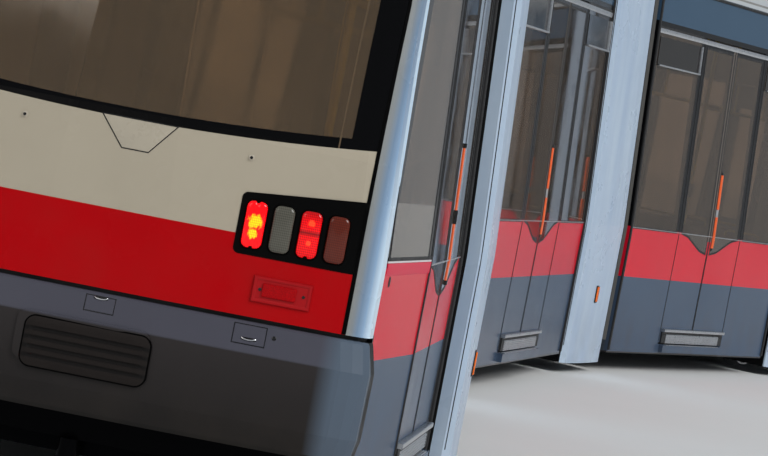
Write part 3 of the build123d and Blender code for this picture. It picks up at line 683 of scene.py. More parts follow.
def lens_glass(name, shade, core=None, strength=0.0, spots=(), bar=False):
    """Ribbed lamp lens; a lit one glows, hottest at its spots: rows of (across, up, radius)."""
    made = Finish(name, Coat_Weight=0.25, Coat_Roughness=0.05, Specular_IOR_Level=0.2)
    uv = made.node("UVMap").outputs[0]
    across, up, _ = made.split(uv)
    ribs = made.maths("SINE", across * 34.0) + made.maths("SINE", up * 62.0)
    texture = made.span(ribs, -2.0, 2.0, 0.55, 1.2)
    if bar:
        texture = texture * made.span(abs(up - 0.07), 0.02, 0.14, 0.35, 1.0)
        texture = texture * made.span(up, 0.55, 1.0, 1.0, 0.5)
    made.put(Base_Color=made.shaded(shade, texture))
    made.rough(0.08, 0.2, 40.0)
    if core is not None:
        wobble = made.span(made.noise(3.5, 3.0, uv), 0.3, 0.7, -0.3, 0.3)
        glow = 0.0
        for u, v, radius in spots:
            away = made.reach((across - u) * 0.45, up - v) / radius
            glow = made.maths("MAXIMUM", glow, made.span(away + wobble, 0.2, 1.4, 1.0, 0.0))
        dim = tuple(part * 0.6 for part in shade)
        lit = made.ramp(glow, [(0.0, dim), (0.35, shade), (0.62, core), (1.0, core)])
        made.put(Emission_Color=made.shaded(lit, texture), Emission_Strength=strength)
    return made.material


# Makers of the finishes that several pieces share
SHARED = {
    "rubber": lambda: surface("black_rubber", livery().rubber, (0.35, 14.0), (0.5, 0.75, 30.0),
                              (420.0, 0.0006)),
    "bellows": bellows_rubber,
    "joint": lambda: surface("black_joint", tone(3, 3, 3), (0.2, 9.0), (0.5, 0.7, 20.0),
                             Specular_IOR_Level=0.03),
    "side_panel": lambda: surface("side_panel", tone(212, 24, 62), (0.05, 1.3, 3.0),
                                  (0.16, 0.24, 2.0), Specular_IOR_Level=0.01,
                                  Specular_Tint=(0.72, 0.40, 0.55)),
    "hopper_pane": lambda: surface("hopper_pane", tone(30, 26, 23), (0.2, 3.0),
                                   (0.06, 0.14, 6.0), Specular_IOR_Level=0.12),
    "plastic": lambda: surface("black_plastic", tone(16, 16, 18), (0.3, 20.0),
                               (0.16, 0.3, 24.0), (500.0, 0.0003, 0.2), Specular_IOR_Level=0.3),
    "metal": lambda: surface("brushed_metal", tone(188, 190, 194), (0.12, 24.0),
                             (0.24, 0.42, 60.0), (900.0, 0.0003, 0.3), Metallic=1.0),
    "cast": lambda: surface("cast_metal", tone(74, 74, 76), (0.4, 16.0, 7.0),
                            (0.45, 0.7, 30.0), (180.0, 0.0012, 0.5), Metallic=0.75),
    "zinc": lambda: surface("zinc_screw", tone(150, 152, 156), (0.25, 60.0), (0.3, 0.5, 80.0),
                            Metallic=0.9),
    "orange": lambda: surface("orange_strip", livery().orange, (0.15, 9.0), (0.25, 0.4, 20.0),
                              (600.0, 0.0003, 0.3), Coat_Weight=0.3, Coat_Roughness=0.1),
    "lamp_cover": lambda: surface("lamp_cover", tone(232, 232, 226), (0.04, 6.0),
                                  (0.35, 0.5, 20.0), Emission_Color=(1.0, 0.96, 0.9),
                                  Emission_Strength=0.35),
    "display": lambda: surface("display", tone(14, 18, 24), (0.3, 12.0), (0.08, 0.16, 14.0),
                               Coat_Weight=0.6, Coat_Roughness=0.03),
    "insulator": lambda: plain_finish("insulator", tone(92, 48, 34), 0.14, 0.26, soiled=0.25,
                                      bump=0.0003),
    "grip": lambda: plain_finish("grip", tone(214, 190, 50), 0.3, 0.5, soiled=0.15, bump=0.0002),
    "call_button": lambda: plain_finish("call_button", tone(188, 30, 28), 0.3, 0.45, soiled=0.1,
                                        bump=0.0002),
    # Darkened like the end's red, as painted shade
    "red_frame": lambda: dull_finish("red_frame", tone(156, 0, 8)),
    "light_line": lambda: plain_finish("light_line", tone(214, 206, 208), 0.3, 0.4, soiled=0.05,
                                       bump=0.0002),
    "roof_cover": lambda: plain_finish("roof_cover", livery().roof, 0.35, 0.55, soiled=0.2),
    "side_reflector": lambda: prism_reflector("orange_reflector", tone(240, 110, 20)),
    "red_reflector": lambda: prism_reflector("red_reflector", tone(150, 0, 6)),
    "tail": lambda: lens_glass("tail_lens", tone(238, 0, 10), tone(255, 222, 10), 1.15,
                               ((0.05, 0.12, 0.34), (0.0, -0.38, 0.24))),
    "brake": lambda: lens_glass("brake_lens", tone(214, 0, 8), tone(255, 92, 40), 0.85,
                                ((0.05, 0.50, 0.16), (0.05, -0.35, 0.12)), True),
    "reverse": lambda: lens_glass("reverse_lens", tone(84, 82, 73)),
    "indicator": lambda: lens_glass("indicator_lens", tone(92, 30, 14)),
    "front_indicator": lambda: lens_glass("front_indicator_lens", tone(196, 96, 16)),
    "headlamp": lambda: lens_glass("headlamp_lens", tone(206, 208, 206)),
}
FINISHES = {}


def finish(name):
    """Shared finish by name, made when it is first asked for."""
    if name not in FINISHES:
        FINISHES[name] = SHARED[name]()
    return FINISHES[name]


def livery_finish(name, k, thickness, seam=None):
    """Painted skin of module k in bands of height, with a lining on its inner side.

    Door leaves get light stiles beside their seam.
    """
    paint = livery()
    made = Finish(name, Specular_IOR_Level=0.02 if k in SIDE else 0.06)
    x, y, z = made.split(made.local(MODULE[k]))
    bands = ((0.0, tone(40, 42, 46)), (0.152, paint.skirt), (BAND_Z, paint.side_red),
             (BELT_Z + 0.001, tone(13, 13, 15)), (WINDOW_TOP + 0.028, paint.frieze),
             (EDGE_Z - 0.004, paint.roof))
    skin = made.ramp(z / 4.0, [(height / 4.0, shade) for height, shade in bands], "CONSTANT")
    skin = made.dirt(made.mottle(skin, 0.05, 1.3, 3.0), z, 0.7, 0.12, 0.3)
    width = made.span(z, BELT_Z, EDGE_Z, HALF_W, EDGE_W)
    if k in SIDE:
        width = width - made.maths("MAXIMUM", abs(x) - TAPER_START, 0.0) * TAPER
    depth = width - abs(y)
    inner = (depth > thickness) * (z < EDGE_Z + 0.05)
    if seam is None:
        inner = inner * (z > SKIRT_Z + 0.01)
    else:
        stile = (abs(x - seam) < 0.040) * (z > BELT_Z - 0.04)
        skin = made.blend(stile, skin, tone(112, 104, 97))
    lining = made.mottle(paint.lining, 0.08, 6.0)
    floor = made.mottle(tone(70, 76, 84), 0.3, 90.0, 2.0)
    within = made.blend(z < FLOOR_Z + 0.01, lining, floor)
    low, high = ENDS[k]
    if k == 1:
        ends = x > high - END_WALL
    elif k == 5:
        ends = x < low + END_WALL
    else:
        ends = 1.0 - made.between(x, low + END_WALL, high - END_WALL)
    if k in SIDE:
        # Painted shade under the nose: the low inner faces at the ends are near black
        below = (z < 0.36) * (abs(x) > PILLAR_X - 0.21)
        within = made.blend(below, within, tone(8, 7, 7))
    painted = made.blend(inner, skin, within)
    ends = ends * (depth > 0.055)
    if k in SIDE:
        pillar, band = made.pillar_lean(k)
        banded = made.blend(band, painted, tone(12, 12, 14))
        painted = made.blend(z > BELT_Z, painted, banded)
        painted = made.blend(pillar, painted, paint.pillar)
        # Dark strip beside the bumper: a joint, widened by painted shade of the gap
        lip_shade = (x * SIDE[k] > PILLAR_X - 0.02) * (z < BUMPER_TOP + 0.030)
        painted = made.blend(lip_shade, painted, tone(6, 6, 7))
    sheen = made.blend(made.between(z, BAND_Z, BELT_Z + 0.001), (0.5, 0.56, 0.64),
                       (0.72, 0.50, 0.60))
    made.put(Base_Color=made.blend(ends, painted, paint.rubber), Specular_Tint=sheen)
    made.rough(0.16, 0.24, 2.0)
    return made.material


def tinted_glass(name, k):
    """Dark tinted side window, lighter and darker in faint upright streaks."""
    made = Finish(name, IOR=1.18)
    _, _, z = made.split(made.local(MODULE[k]))
    streaks = made.local(MODULE[k], (3.0, 3.0, 0.7))
    shade = made.mottle(tone(146, 130, 114), 0.15, 2.0, 3.0, streaks)
    clear = 0.9
    if k in SIDE:
        pillar, band = made.pillar_lean(k)
        shade = made.blend(band, shade, tone(8, 8, 12))
        shade = made.blend(pillar, shade, livery().pillar)
        clear = (1.0 - band) * clear
    sheen = made.blend(made.span(z, 1.20, 1.60), (0.26, 0.30, 0.38), (0.60, 0.57, 0.54))
    made.put(Base_Color=shade, Transmission_Weight=clear, Specular_Tint=sheen)
    made.rough(0.01, 0.04, 5.0)
    return made.material


def window_rubber(k):
    """Rubber of an end module's window seals, painted where it crosses the pillar."""
    made = Finish("window_rubber_%d" % k, Specular_IOR_Level=0.2)
    pillar, _ = made.pillar_lean(k)
    made.put(Base_Color=made.blend(pillar, made.mottle(livery().rubber, 0.35, 14.0),
                                   livery().pillar))
    made.rough(0.4, 0.6, 30.0)
    return made.material


def screen_glass(name, k):
    """End screen: clear in the middle, with a black printed border and a thin upright line."""
    made = Finish(name, IOR=1.45, Specular_IOR_Level=0.1)
    _, y, z = made.split(made.local(MODULE[k]))
    over = made.above_brow(k, y, z)
    clear = (abs(y) < SCREEN_EDGE + 0.045) * ((over > 0.042) * (z < SCREEN_TOP - 0.38))
    line = made.between(abs(y) - SCREEN_EDGE, 0.0, 0.006)
    border = made.blend(line, tone(6, 6, 7), tone(88, 74, 58))
    border = made.blend(over < 0.0, border, livery().cream)
    clear = clear * (1.0 - line)
    tint = made.mottle(tone(158, 134, 104), 0.12, 2.5)
    made.put(Base_Color=made.blend(clear, border, tint), Transmission_Weight=clear * 0.88)
    made.rough(0.03, 0.08, 4.0)
    made.grain(1.2, 0.0025, 0.05, 1.0)
    return made.material


def mask_shade(made, k, y, z):
    """Cream over red, both darkened as painted shade, with the black under the screen's curved
    edge.
    """
    shade = made.blend(z > CREAM_Z[k], livery().red, livery().cream)
    return made.blend(made.above_brow(k, y, z) > 0.0, shade, tone(8, 8, 9))


def frame_shade(made, y, z):
    """Light frame with painted shading: darker where it turns towards the mask, lighter with a
    painted highlight where it turns to the side; the roof's paint on top.
    """
    # Painted shading and highlight: brownish grey towards the mask, light and bluish where the
    # frame turns to the side, lightest at its edge
    turned = made.ramp(made.span(abs(y), 0.975, 1.085), [
        (0.0, tone(136, 136, 132)), (0.22, tone(128, 134, 138)), (0.42, tone(112, 134, 158)),
        (0.60, tone(134, 160, 188)), (0.80, livery().pillar), (1.0, tone(204, 220, 232))])
    return made.blend(z > SCREEN_TOP + 0.004, turned, livery().roof)


def bumper_shade(made, k, x, y, z):
    """Bumper colour with painted light: darker towards the road and near black at its foot as
    painted shade, the ledge and the corners lighter and bluer as painted sky reflection; a black
    joint on top and a dark strip beside the skirt, a joint widened by painted shade.
    """
    # Painted shade: the face grows darker towards the road
    shade = made.blend(made.span(z, 0.36, 0.66), tone(20, 17, 16), tone(39, 35, 35))
    # Painted sky reflection: the upward ledge is lighter
    shade = made.blend(made.span(z, 0.669, 0.679), shade, livery().ledge)
    # Painted sky reflection: the corners turn lighter and bluer
    shade = made.blend(made.span(abs(y), 0.90, 0.975), shade, tone(78, 90, 104))
    shade = made.blend(z > BUMPER_TOP + 0.002, shade, tone(8, 8, 9))
    # Painted shade under the bumper: near black at its foot
    shade = made.blend(z < 0.33, shade, tone(8, 7, 6))
    # Dark strip on the bumper's side beside the skirt: a joint, widened by painted shade of the
    # gap
    return made.blend(x * SIDE[k] - PILLAR_X < LIP_SHADE, shade, tone(6, 6, 7))


def end_finish(name, k, kind):
    """Paint of an end: the cream and red mask, the light frame or the bumper; frame and bumper
    carry painted shade, highlight and sky reflection.
    """
    made = Finish(name, Specular_IOR_Level=0.06 if kind == "mask" else 0.2)
    x, y, z = made.split(made.local(MODULE[k]))
    if kind == "mask":
        shade, soiled = mask_shade(made, k, y, z), (1.6, 0.4)
    elif kind == "frame":
        shade, soiled = frame_shade(made, y, z), (1.2, 0.5)
    else:
        shade, soiled = bumper_shade(made, k, x, y, z), (0.62, 0.25)
    made.put(Base_Color=made.dirt(made.mottle(shade, 0.035, 1.2, 3.0), z, *soiled, 0.14))
    if kind == "bumper":
        made.rough(0.4, 0.58, 6.0)
        made.grain(320.0, 0.0004, 0.25)
    else:
        made.rough(0.2, 0.32, 3.0)
    return made.material


def pad_finish(name, k):
    """Dark rubber of the bumper's pad, turned black in its grooves by painted shade."""
    made = Finish(name, Specular_IOR_Level=0.14)
    _, _, z = made.split(made.local(MODULE[k]))
    shade = made.mottle(tone(26, 21, 19), 0.12, 14.0)
    # Painted shade in the grooves
    for groove in PAD_GROOVES:
        shade = made.blend(made.span(abs(z - groove), 0.004, 0.012, 0.85, 0.0), shade,
                           tone(4, 3, 3))
    made.put(Base_Color=shade)
    made.rough(0.4, 0.6, 30.0)
    return made.material


def portal_finish(name, k):
    """Silver arch with painted soft upright shading; dark in its wells and below; near black on
    its end faces as painted shade of the gaps beside the modules.
    """
    paint = livery()
    made = Finish(name, Specular_IOR_Level=0.25)
    x, y, z = made.split(made.local(PORTAL[k]))
    soft = made.noise(2.2, 3.0, made.local(PORTAL[k], (2.4, 2.4, 0.35)))
    shade = made.blend(made.span(soft, 0.3, 0.7), paint.silver, tone(160, 179, 202))
    shade = made.dirt(shade, z, 0.6, 0.1, 0.25)
    depth = made.span(z, BELT_Z, EDGE_Z, HALF_W + STAND, EDGE_W + STAND) - abs(y)
    inner = (depth > 0.03) * (z < EDGE_Z + 0.06) * (abs(x) < PORTAL_HALF - 0.05)
    lining = made.blend(z < 0.19, made.mottle(paint.lining, 0.1, 5.0), tone(48, 48, 50))
    shade = made.blend(inner, shade, lining)
    # Painted shade of the gap: the end face near black past the silver's wrap
    edge = (depth > PORTAL_WRAP[k]) * (abs(x) > PORTAL_HALF - END_WALL)
    made.put(Base_Color=made.blend(edge, shade, tone(7, 7, 8)))
    made.rough(0.24, 0.36, 2.0)
    return made.material


def wheel_finish(name, k):
    """Steel wheel: bright tread and flange, dull dusty web."""
    made = Finish(name, Metallic=0.85)
    x, _, z = made.split(made.local(PORTAL[k]))
    bright = made.span(made.reach(x, z - AXLE_Z), WHEEL_R - 0.02, WHEEL_R - 0.008)
    web = made.blend(made.span(made.noise(14.0, 6.0), 0.35, 0.65), tone(62, 54, 48),
                     tone(92, 84, 78))
    made.put(Base_Color=made.blend(bright, web, tone(196, 196, 200)),
             Roughness=made.span(bright + made.noise(20.0), 0.4, 1.6, 0.62, 0.2))
    made.grain(160.0, 0.0008, 0.3)
    return made.material


def seat_finish(name, k):
    """Seats in red cloth over grey plinths, with yellow poles."""
    made = Finish(name)
    _, _, z = made.split(made.local(MODULE[k]))
    cloth = made.blend(made.span(made.noise(240.0, 1.0), 0.45, 0.55), tone(120, 24, 34),
                       tone(72, 20, 30))
    shell = made.between(z, FLOOR_Z + 0.392, FLOOR_Z + 0.9)
    seats = made.blend(shell, tone(110, 112, 116), cloth)
    made.put(Base_Color=made.blend(z > FLOOR_Z + 0.9, seats, tone(214, 196, 60)))
    made.rough(0.4, 0.65, 30.0)
    made.grain(600.0, 0.0006, 0.4)
    return made.material


def bow_finish():
    """Light metal bow with dark carbon on top of its strips."""
    made = Finish("pan_bow", Metallic=0.5)
    _, y, z = made.split(made.local(MODULE[3]))
    carbon = (z > PAN_HEAD[1] + 0.086) * (abs(y) < 0.655)
    shade = made.blend(carbon, tone(150, 152, 156), tone(24, 24, 26))
    made.put(Base_Color=made.mottle(shade, 0.25, 12.0, 6.0))
    made.rough(0.35, 0.55, 30.0)
    made.grain(300.0, 0.0004, 0.3)
    return made.material


# Geometry Nodes
class Grower(Tree):
    """A geometry tree in the making, with named sizes and a finish as its inputs."""

    def __init__(self, name, **sizes):
        self.tree = bpy.data.node_groups.new(name, "GeometryNodeTree")
        add = self.tree.interface.new_socket
        for title, kind in {"Geometry": "Geometry", **sizes, "Finish": "Material"}.items():
            add(name=title, in_out="INPUT", socket_type="NodeSocket" + kind)
        add(name="Geometry", in_out="OUTPUT", socket_type="NodeSocketGeometry")
        self.given = self.tree.nodes.new("NodeGroupInput").outputs
        self.result = self.tree.nodes.new("NodeGroupOutput").inputs["Geometry"]

    def node(self, kind, settings=None, **inputs):
        """First output of a new node; inputs are named by their words joined by _."""
        node = self.tree.nodes.new(kind)
        for key, value in (settings or {}).items():
            setattr(node, key, value)
        for key, value in inputs.items():
            self.feed(node.inputs[key.replace("_", " ")], value)
        return node.outputs[0]

    def attribute(self, name, kind):
        return self.node("GeometryNodeInputNamedAttribute", {"data_type": kind}, Name=name)

    def on_points(self, shape, turn):
        """Ends the tree with a turned shape on every point it is given."""
        points = self.node("GeometryNodeMeshToPoints", Mesh=self.given["Geometry"])
        return self.end(self.node("GeometryNodeInstanceOnPoints", Points=points,
                                  Instance=shape, Rotation=turn))

    def end(self, geometry):
        """Makes the geometry real and paints it."""
        real = self.node("GeometryNodeRealizeInstances", Geometry=geometry)
        painted = self.node("GeometryNodeSetMaterial", Geometry=real,
                            Material=self.given["Finish"])
        self.tree.links.new(painted, self.result)
        return self.tree


def screw_tree(name):
    """Stands a low tapered head on every point, along the point's facing attribute."""
    made = Grower(name, Radius="Float", Height="Float", Sides="Int")
    radius = made.given["Radius"]
    head = made.node("GeometryNodeMeshCone", {"fill_type": "NGON"}, Vertices=made.given["Sides"],
                     Radius_Top=made.maths("MULTIPLY", radius, 0.72), Radius_Bottom=radius,
                     Depth=made.given["Height"])
    turn = made.node("FunctionNodeAlignRotationToVector", {"axis": "Z"},
                     Vector=made.attribute("facing", "FLOAT_VECTOR"))
    return made.on_points(head, turn)


def rib_tree(name):
    """Lays round ribs along a line of points, each as long as asked, turned to one heading."""
    made = Grower(name, Radius="Float", Length="Float", Turn="Vector")
    rib = made.node("GeometryNodeMeshCylinder", {"fill_type": "NGON"}, Vertices=8,
                    Radius=made.given["Radius"], Depth=made.given["Length"])
    return made.on_points(rib, made.node("FunctionNodeEulerToRotation",
                                         Euler=made.given["Turn"]))


def fold_tree(name):
    """Pushes a sleeve in and out in pleats along its run attribute."""
    made = Grower(name, Folds="Float", Depth="Float")
    phase = made.maths("MULTIPLY", made.attribute("run", "FLOAT"), made.given["Folds"])
    wave = made.maths("COSINE", made.maths("MULTIPLY", phase, 2.0 * math.pi))
    lift = made.maths("MULTIPLY", made.maths("MULTIPLY", wave, -0.5), made.given["Depth"])
    offset = made.node("ShaderNodeVectorMath", {"operation": "SCALE"},
                       Vector=made.attribute("out", "FLOAT_VECTOR"), Scale=lift)
    return made.end(made.node("GeometryNodeSetPosition", Geometry=made.given["Geometry"],
                              Offset=offset))


GROWERS = {"tram_screws": screw_tree, "tram_ribs": rib_tree, "tram_folds": fold_tree}


def grown(source, tree_name, **inputs):
    """Runs a geometry tree on an object and leaves its result as a plain mesh object."""
    tree = bpy.data.node_groups.get(tree_name) or GROWERS[tree_name](tree_name)
    modifier = source.modifiers.new("Nodes", "NODES")
    modifier.node_group = tree
    for item in tree.interface.items_tree:
        if item.in_out == "INPUT" and item.name in inputs:
            modifier[item.identifier] = inputs[item.name]
    bpy.context.view_layer.update()
    graph = bpy.context.evaluated_depsgraph_get()
    data = bpy.data.meshes.new_from_object(source.evaluated_get(graph))
    name = source.name
    data.name = name
    source.modifiers.remove(modifier)
    bpy.data.objects.remove(source)
    for attribute in ("facing", "run", "out"):
        if attribute in data.attributes:
            data.attributes.remove(data.attributes[attribute])
    smooth(data, 40.0)
    return in_scene(name, data)


def point_cloud(name, place, spots):
    """Object of loose points with a facing each, from rows of (point, normal) in a place."""
    data = bpy.data.meshes.new(name)
    data.from_pydata([place @ Vector(point) for point, _ in spots], [], [])
    attribute = data.attributes.new("facing", "FLOAT_VECTOR", "POINT")
    turn = place.to_3x3()
    for entry, (_, normal) in zip(attribute.data, spots):
        entry.vector = turn @ Vector(normal).normalized()
    return in_scene(name, data)


def screws(name, place, spots, body, material="zinc", size=1.0):
    """Panel screws on rows of (point, normal)."""
    made = grown(point_cloud(name, place, spots), "tram_screws",
                 Radius=trim().screw_radius * size, Height=trim().screw_height * size * 2.0,
                 Sides=10, Finish=finish(material))
    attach(made, body)


def body_of(k):
    return "module_%d" % k


def portal_body(k):
    return "portal_unit_%d" % k


# Lamps: a lens's width and height, rows of (share of its outline, height), the path of a
# notch, and for each end the lenses from the middle outwards with their notched ends
LENS_SIZE = (0.079, 0.180)
LENS_CROWN = ((1.0, -0.004), (1.0, 0.004), (0.96, 0.008), (0.86, 0.011), (0.62, 0.0135),
              (0.3, 0.0145))
LENS_NOTCH = ((-0.009, 0.0), (-0.004, 0.007), (0.004, 0.007), (0.009, 0.0))
LENS_ROWS = {
    1: (("tail", 2), ("reverse", 0), ("brake", 1), ("indicator", 0)),
    5: (("headlamp", 0), ("headlamp", 0), ("headlamp", 0), ("front_indicator", 0)),
}
RIM_SIZE = (0.094, 0.196, 0.030)
RIM_SECTION = ((0.0, -0.010), (0.001, -0.001), (0.005, 0.001), (0.008, -0.001), (0.008, -0.010))
REFLECTOR_AT = (0.714, 0.922)


def lens_outline(notches):
    """Rounded outline with a notch at its foot (1) or at both ends (2)."""
    width, height = LENS_SIZE
    outline = rounded(width, height, 0.024)
    notched = []
    for (x, z), (next_x, next_z) in zip(outline, outline[1:] + outline[:1]):
        notched.append((x, z))
        level = min(abs(z), abs(next_z)) > height / 2.0 - 1e-6
        if level and x * next_x < 0.0 and notches > (1 if z > 0.0 else 0):
            end = math.copysign(1.0, z)
            notched += [(-end * dx, end * (height / 2.0 - dz)) for dx, dz in LENS_NOTCH]
    return notched


def lens(piece, k, y, notches):
    """Pillow-shaped lens on the bezel, with its face laid flat in the UV map."""
    spot = nose_spot(k, y, BEZEL_Z[k])
    outline = lens_outline(notches)
    start = len(piece.mesh.faces)
    piece.loft([[spot @ Vector((x * share, z * share, out)) for x, z in outline]
                for share, out in LENS_CROWN])
    layer = piece.mesh.loops.layers.uv.verify()
    piece.mesh.faces.ensure_lookup_table()
    inverse = spot.inverted()
    width, height = LENS_SIZE
    for face in piece.mesh.faces[start:]:
        for loop in face.loops:
            at = inverse @ loop.vert.co
            loop[layer].uv = (2.0 * at.x / width, 2.0 * at.y / height)


class TRAM_OT_lenses(bpy.types.Operator):
    """Lamp lenses and bezel rims of both ends, and the framed reflectors of the rear end"""
    bl_idname = "tram.lenses"
    bl_label = "Lamps"

    def execute(self, context):
        for k, name in END_NAME.items():
            kinds = [finish(kind) for kind, _ in LENS_ROWS[k]]
            lenses = Piece(name + "_lenses", MODULE[k], *kinds)
            rims = Piece(name + "_lens_rims", MODULE[k], finish("joint"))
            for i, (y, (_, notches)) in enumerate(zip(LENS_Y, LENS_ROWS[k])):
                lenses.finish = i
                for hand in HANDS:
                    lens(lenses, k, hand * y, notches)
                    rims.ring(nose_spot(k, hand * y, BEZEL_Z[k]), rounded(*RIM_SIZE), RIM_SECTION)
            lenses.done(body_of(k))
            rims.done(body_of(k))
        self.reflectors()
        return {"FINISHED"}

    def reflectors(self):
        """Red reflector in a red frame with two screws, on each side of the rear mask."""
        piece = Piece("rear_reflectors", MODULE[1], finish("red_reflector"), finish("red_frame"),
                      finish("plastic"))
        for hand in HANDS:
            spot = nose_spot(1, hand * REFLECTOR_AT[0], REFLECTOR_AT[1])
            piece.finish = 1
            piece.ring(spot, rectangle(0.230, 0.104), [(0.0, -0.006), (0.002, 0.008),
                                                       (0.004, 0.010), (0.010, 0.010),
                                                       (0.016, 0.006), (0.016, -0.006)])
            piece.plate(spot, rectangle(0.200, 0.074), [(0.0, -0.006), (0.0, 0.005)])
            piece.finish = 0
            piece.plate(spot @ Matrix.Translation((0.010 * hand, 0.0, 0.0)),
                        rounded(0.132, 0.052, 0.004, 2),
                        [(0.0, 0.003), (0.0, 0.011), (0.002, 0.013)])
            piece.finish = 2
            for x in (-0.085, 0.085):
                piece.lathe(spot @ Matrix.Translation((x, 0.0, 0.004)),
                            [(0.006, 0.0), (0.006, 0.004), (0.004, 0.005)], 10)
        piece.done(body_of(1))


def hinged_flap(piece, k, y, z, width, height, handle):
    """Small cover on the bumper: a dark joint, a raised cover and a finger handle."""
    spot = nose_spot(k, y, z)
    outline = rectangle(width, height)
    piece.finish = 1
    piece.ring(spot, outline, [(-0.002, -0.004), (-0.002, 0.0008), (0.001, 0.0008),
                               (0.001, -0.004)])
    piece.finish = 0
    piece.plate(spot, outline, [(0.002, -0.004), (0.002, 0.001), (0.003, 0.0018)])
    piece.finish = 1
    piece.plate(spot @ Matrix.Translation((0.0, height * handle, 0.0)),
                rounded(width * 0.50, 0.013, 0.006, 3), [(0.0, 0.0), (0.001, 0.0026)])
    piece.finish = 2
    turns = [math.pi * (1.0 + i / 8.0) for i in range(9)]
    piece.tube([spot @ Vector((width * 0.22 * math.cos(turn),
                               height * (handle + 0.05) + 0.008 * math.sin(turn),
                               0.002 + 0.0035 * abs(math.sin(turn)))) for turn in turns],
               0.0022, 8)


# Flaps on the bumper's ledge: across, height, width, height of the flap, handle's place on it
FLAPS = ((-0.625, 0.743, 0.126, 0.076, -0.22), (-0.040, 0.748, 0.115, 0.062, 0.40),
         (0.625, 0.743, 0.126, 0.076, -0.22))
WASHER_FLAP = ((-0.052, -0.056), (0.052, -0.056), (0.147, 0.060), (-0.147, 0.060))


class TRAM_OT_end_trim(bpy.types.Operator):
    """Covers, handles, joints and wiper of both ends"""
    bl_idname = "tram.end_trim"
    bl_label = "End trim"

    def execute(self, context):
        for k, name in END_NAME.items():
            flaps = Piece(name + "_bumper_flaps", MODULE[k], finish(name + "_bumper_cover"),
                          finish("plastic"), finish("metal"))
            for row in FLAPS:
                hinged_flap(flaps, k, *row)
            flaps.finish = 1
            for y in (-0.720, 0.720):
                flaps.lathe(nose_spot(k, y, 0.747), [(0.009, -0.002), (0.009, 0.001),
                                                     (0.006, 0.002)], 10)
            flaps.done(body_of(k))
            self.joints(k, name)
            self.pad(k, name)
            self.washer(k, name)
        self.wiper()
        return {"FINISHED"}

    def washer(self, k, name):
        """Flap of the screen wash below the screen, with a jet on each side."""
        piece = Piece(name + "_washer_flap", MODULE[k], finish(name + "_mask_cover"),
                      finish("plastic"))
        middle = FACE_MIDDLE if k == 1 else 0.0
        spot = nose_spot(k, middle, BROW[k][0] - 0.058)
        piece.finish = 1
        piece.ring(spot, WASHER_FLAP, [(-0.003, -0.004), (-0.003, 0.001), (0.001, 0.001),
                                       (0.001, -0.004)])
        piece.finish = 0
        piece.plate(spot, WASHER_FLAP, [(0.002, -0.004), (0.002, 0.0004), (0.003, 0.0008)])
        for hand in HANDS:
            spot = nose_spot(k, middle + hand * 0.445, BROW[k][0] - 0.059)
            piece.finish = 0
            piece.lathe(spot, [(0.012, -0.002), (0.012, 0.003), (0.008, 0.005)], 16)
            piece.finish = 1
            piece.lathe(spot, [(0.006, 0.003), (0.006, 0.008), (0.003, 0.009)], 12)
        piece.done(body_of(k))

    def wiper(self):
        """Arm and blade that lie along the front screen."""
        piece = Piece("front_wiper", MODULE[5], finish("plastic"), finish("rubber"))
        foot, normal = nose_seat(5, 0.0, SCREEN_Z[5] - 0.02)
        piece.lathe(facing(foot, normal), [(0.034, -0.004), (0.034, 0.02), (0.022, 0.034),
                                           (0.012, 0.036)], 20)
        arm, blade = [foot + Vector((0.026, 0.0, 0.0))], []
        for i in range(9):
            part = i / 8.0
            at, out = nose_seat(5, 0.62 * part, SCREEN_Z[5] + 0.03 + 0.52 * part)
            arm.append(at + out * (0.034 - 0.012 * part))
            at, out = nose_seat(5, 0.36 + 0.44 * part, SCREEN_Z[5] + 0.10 + 0.80 * part)
            blade.append(at + out * 0.012)
        piece.tube(arm, 0.008, 8)
        piece.finish = 1
        piece.tube(blade, 0.007, 6)
        piece.done(body_of(5))

    def pad(self, k, name):
        """Crowned cover with round corners and four grooves over the bumper's pad."""
        piece = Piece(name + "_bumper_pad", MODULE[k], finish(name + "_bumper_pad"),
                      finish("joint"))
        low, high = PAD_LANDS
        middle = PAD_Y if k == 1 else 0.0

        def point(y, z, out):
            at = max(-0.245, min(0.245, y))
            below, above = nose_seat(k, at, low)[0], nose_seat(k, at, high)[0]
            base = below.lerp(above, (z - low) / (high - low))
            return Vector((base.x + SIDE[k] * out, y, z))

        def height(y, z):
            """Crown that falls off at the rim and dips in the grooves."""
            aside = PAD_W / 2.0 - abs(y - middle)
            rim = min(aside, PAD_H / 2.0 - abs(z - PAD_Z))
            crown = 0.0055 * min(1.0, max(0.0, rim) / 0.022) ** 0.5
            reach = aside - 0.020
            dip = max(1.0 - abs(z - groove) / 0.009 for groove in PAD_GROOVES)
            if dip > 0.0 and reach > 0.0:
                crown -= 0.0045 * min(1.0, 1.6 * dip) * min(1.0, reach / 0.006)
            return 0.0010 + crown

        columns, rows = 40, 96
        grid = []
        for j in range(rows + 1):
            z = PAD_Z + PAD_H * (j / rows - 0.5)
            corner = max(0.0, abs(z - PAD_Z) - (PAD_H / 2.0 - PAD_R))
            half = PAD_W / 2.0 - PAD_R + math.sqrt(max(0.0, PAD_R ** 2 - corner ** 2))
            row = []
            for i in range(columns + 1):
                y = middle + half * math.sin(math.pi * (i / columns - 0.5))
                row.append(piece.mesh.verts.new(point(y, z, height(y, z))))
            grid.append(row)
        for low_row, high_row in zip(grid, grid[1:]):
            for i in range(columns):
                piece.face((low_row[i], low_row[i + 1], high_row[i + 1], high_row[i]))
        edge, wide = ([(middle + y, PAD_Z + z) for y, z in rounded(
            PAD_W + 2.0 * more, PAD_H + 2.0 * more, PAD_R + more, 8)] for more in (0.0, 0.006))
        piece.finish = 1
        piece.loft([[point(y, z, out) for y, z in ring]
                    for ring, out in ((wide, -0.020), (wide, 0.0006), (edge, 0.0010),
                                      (edge, -0.020))], closed=True)
        piece.done(body_of(k))

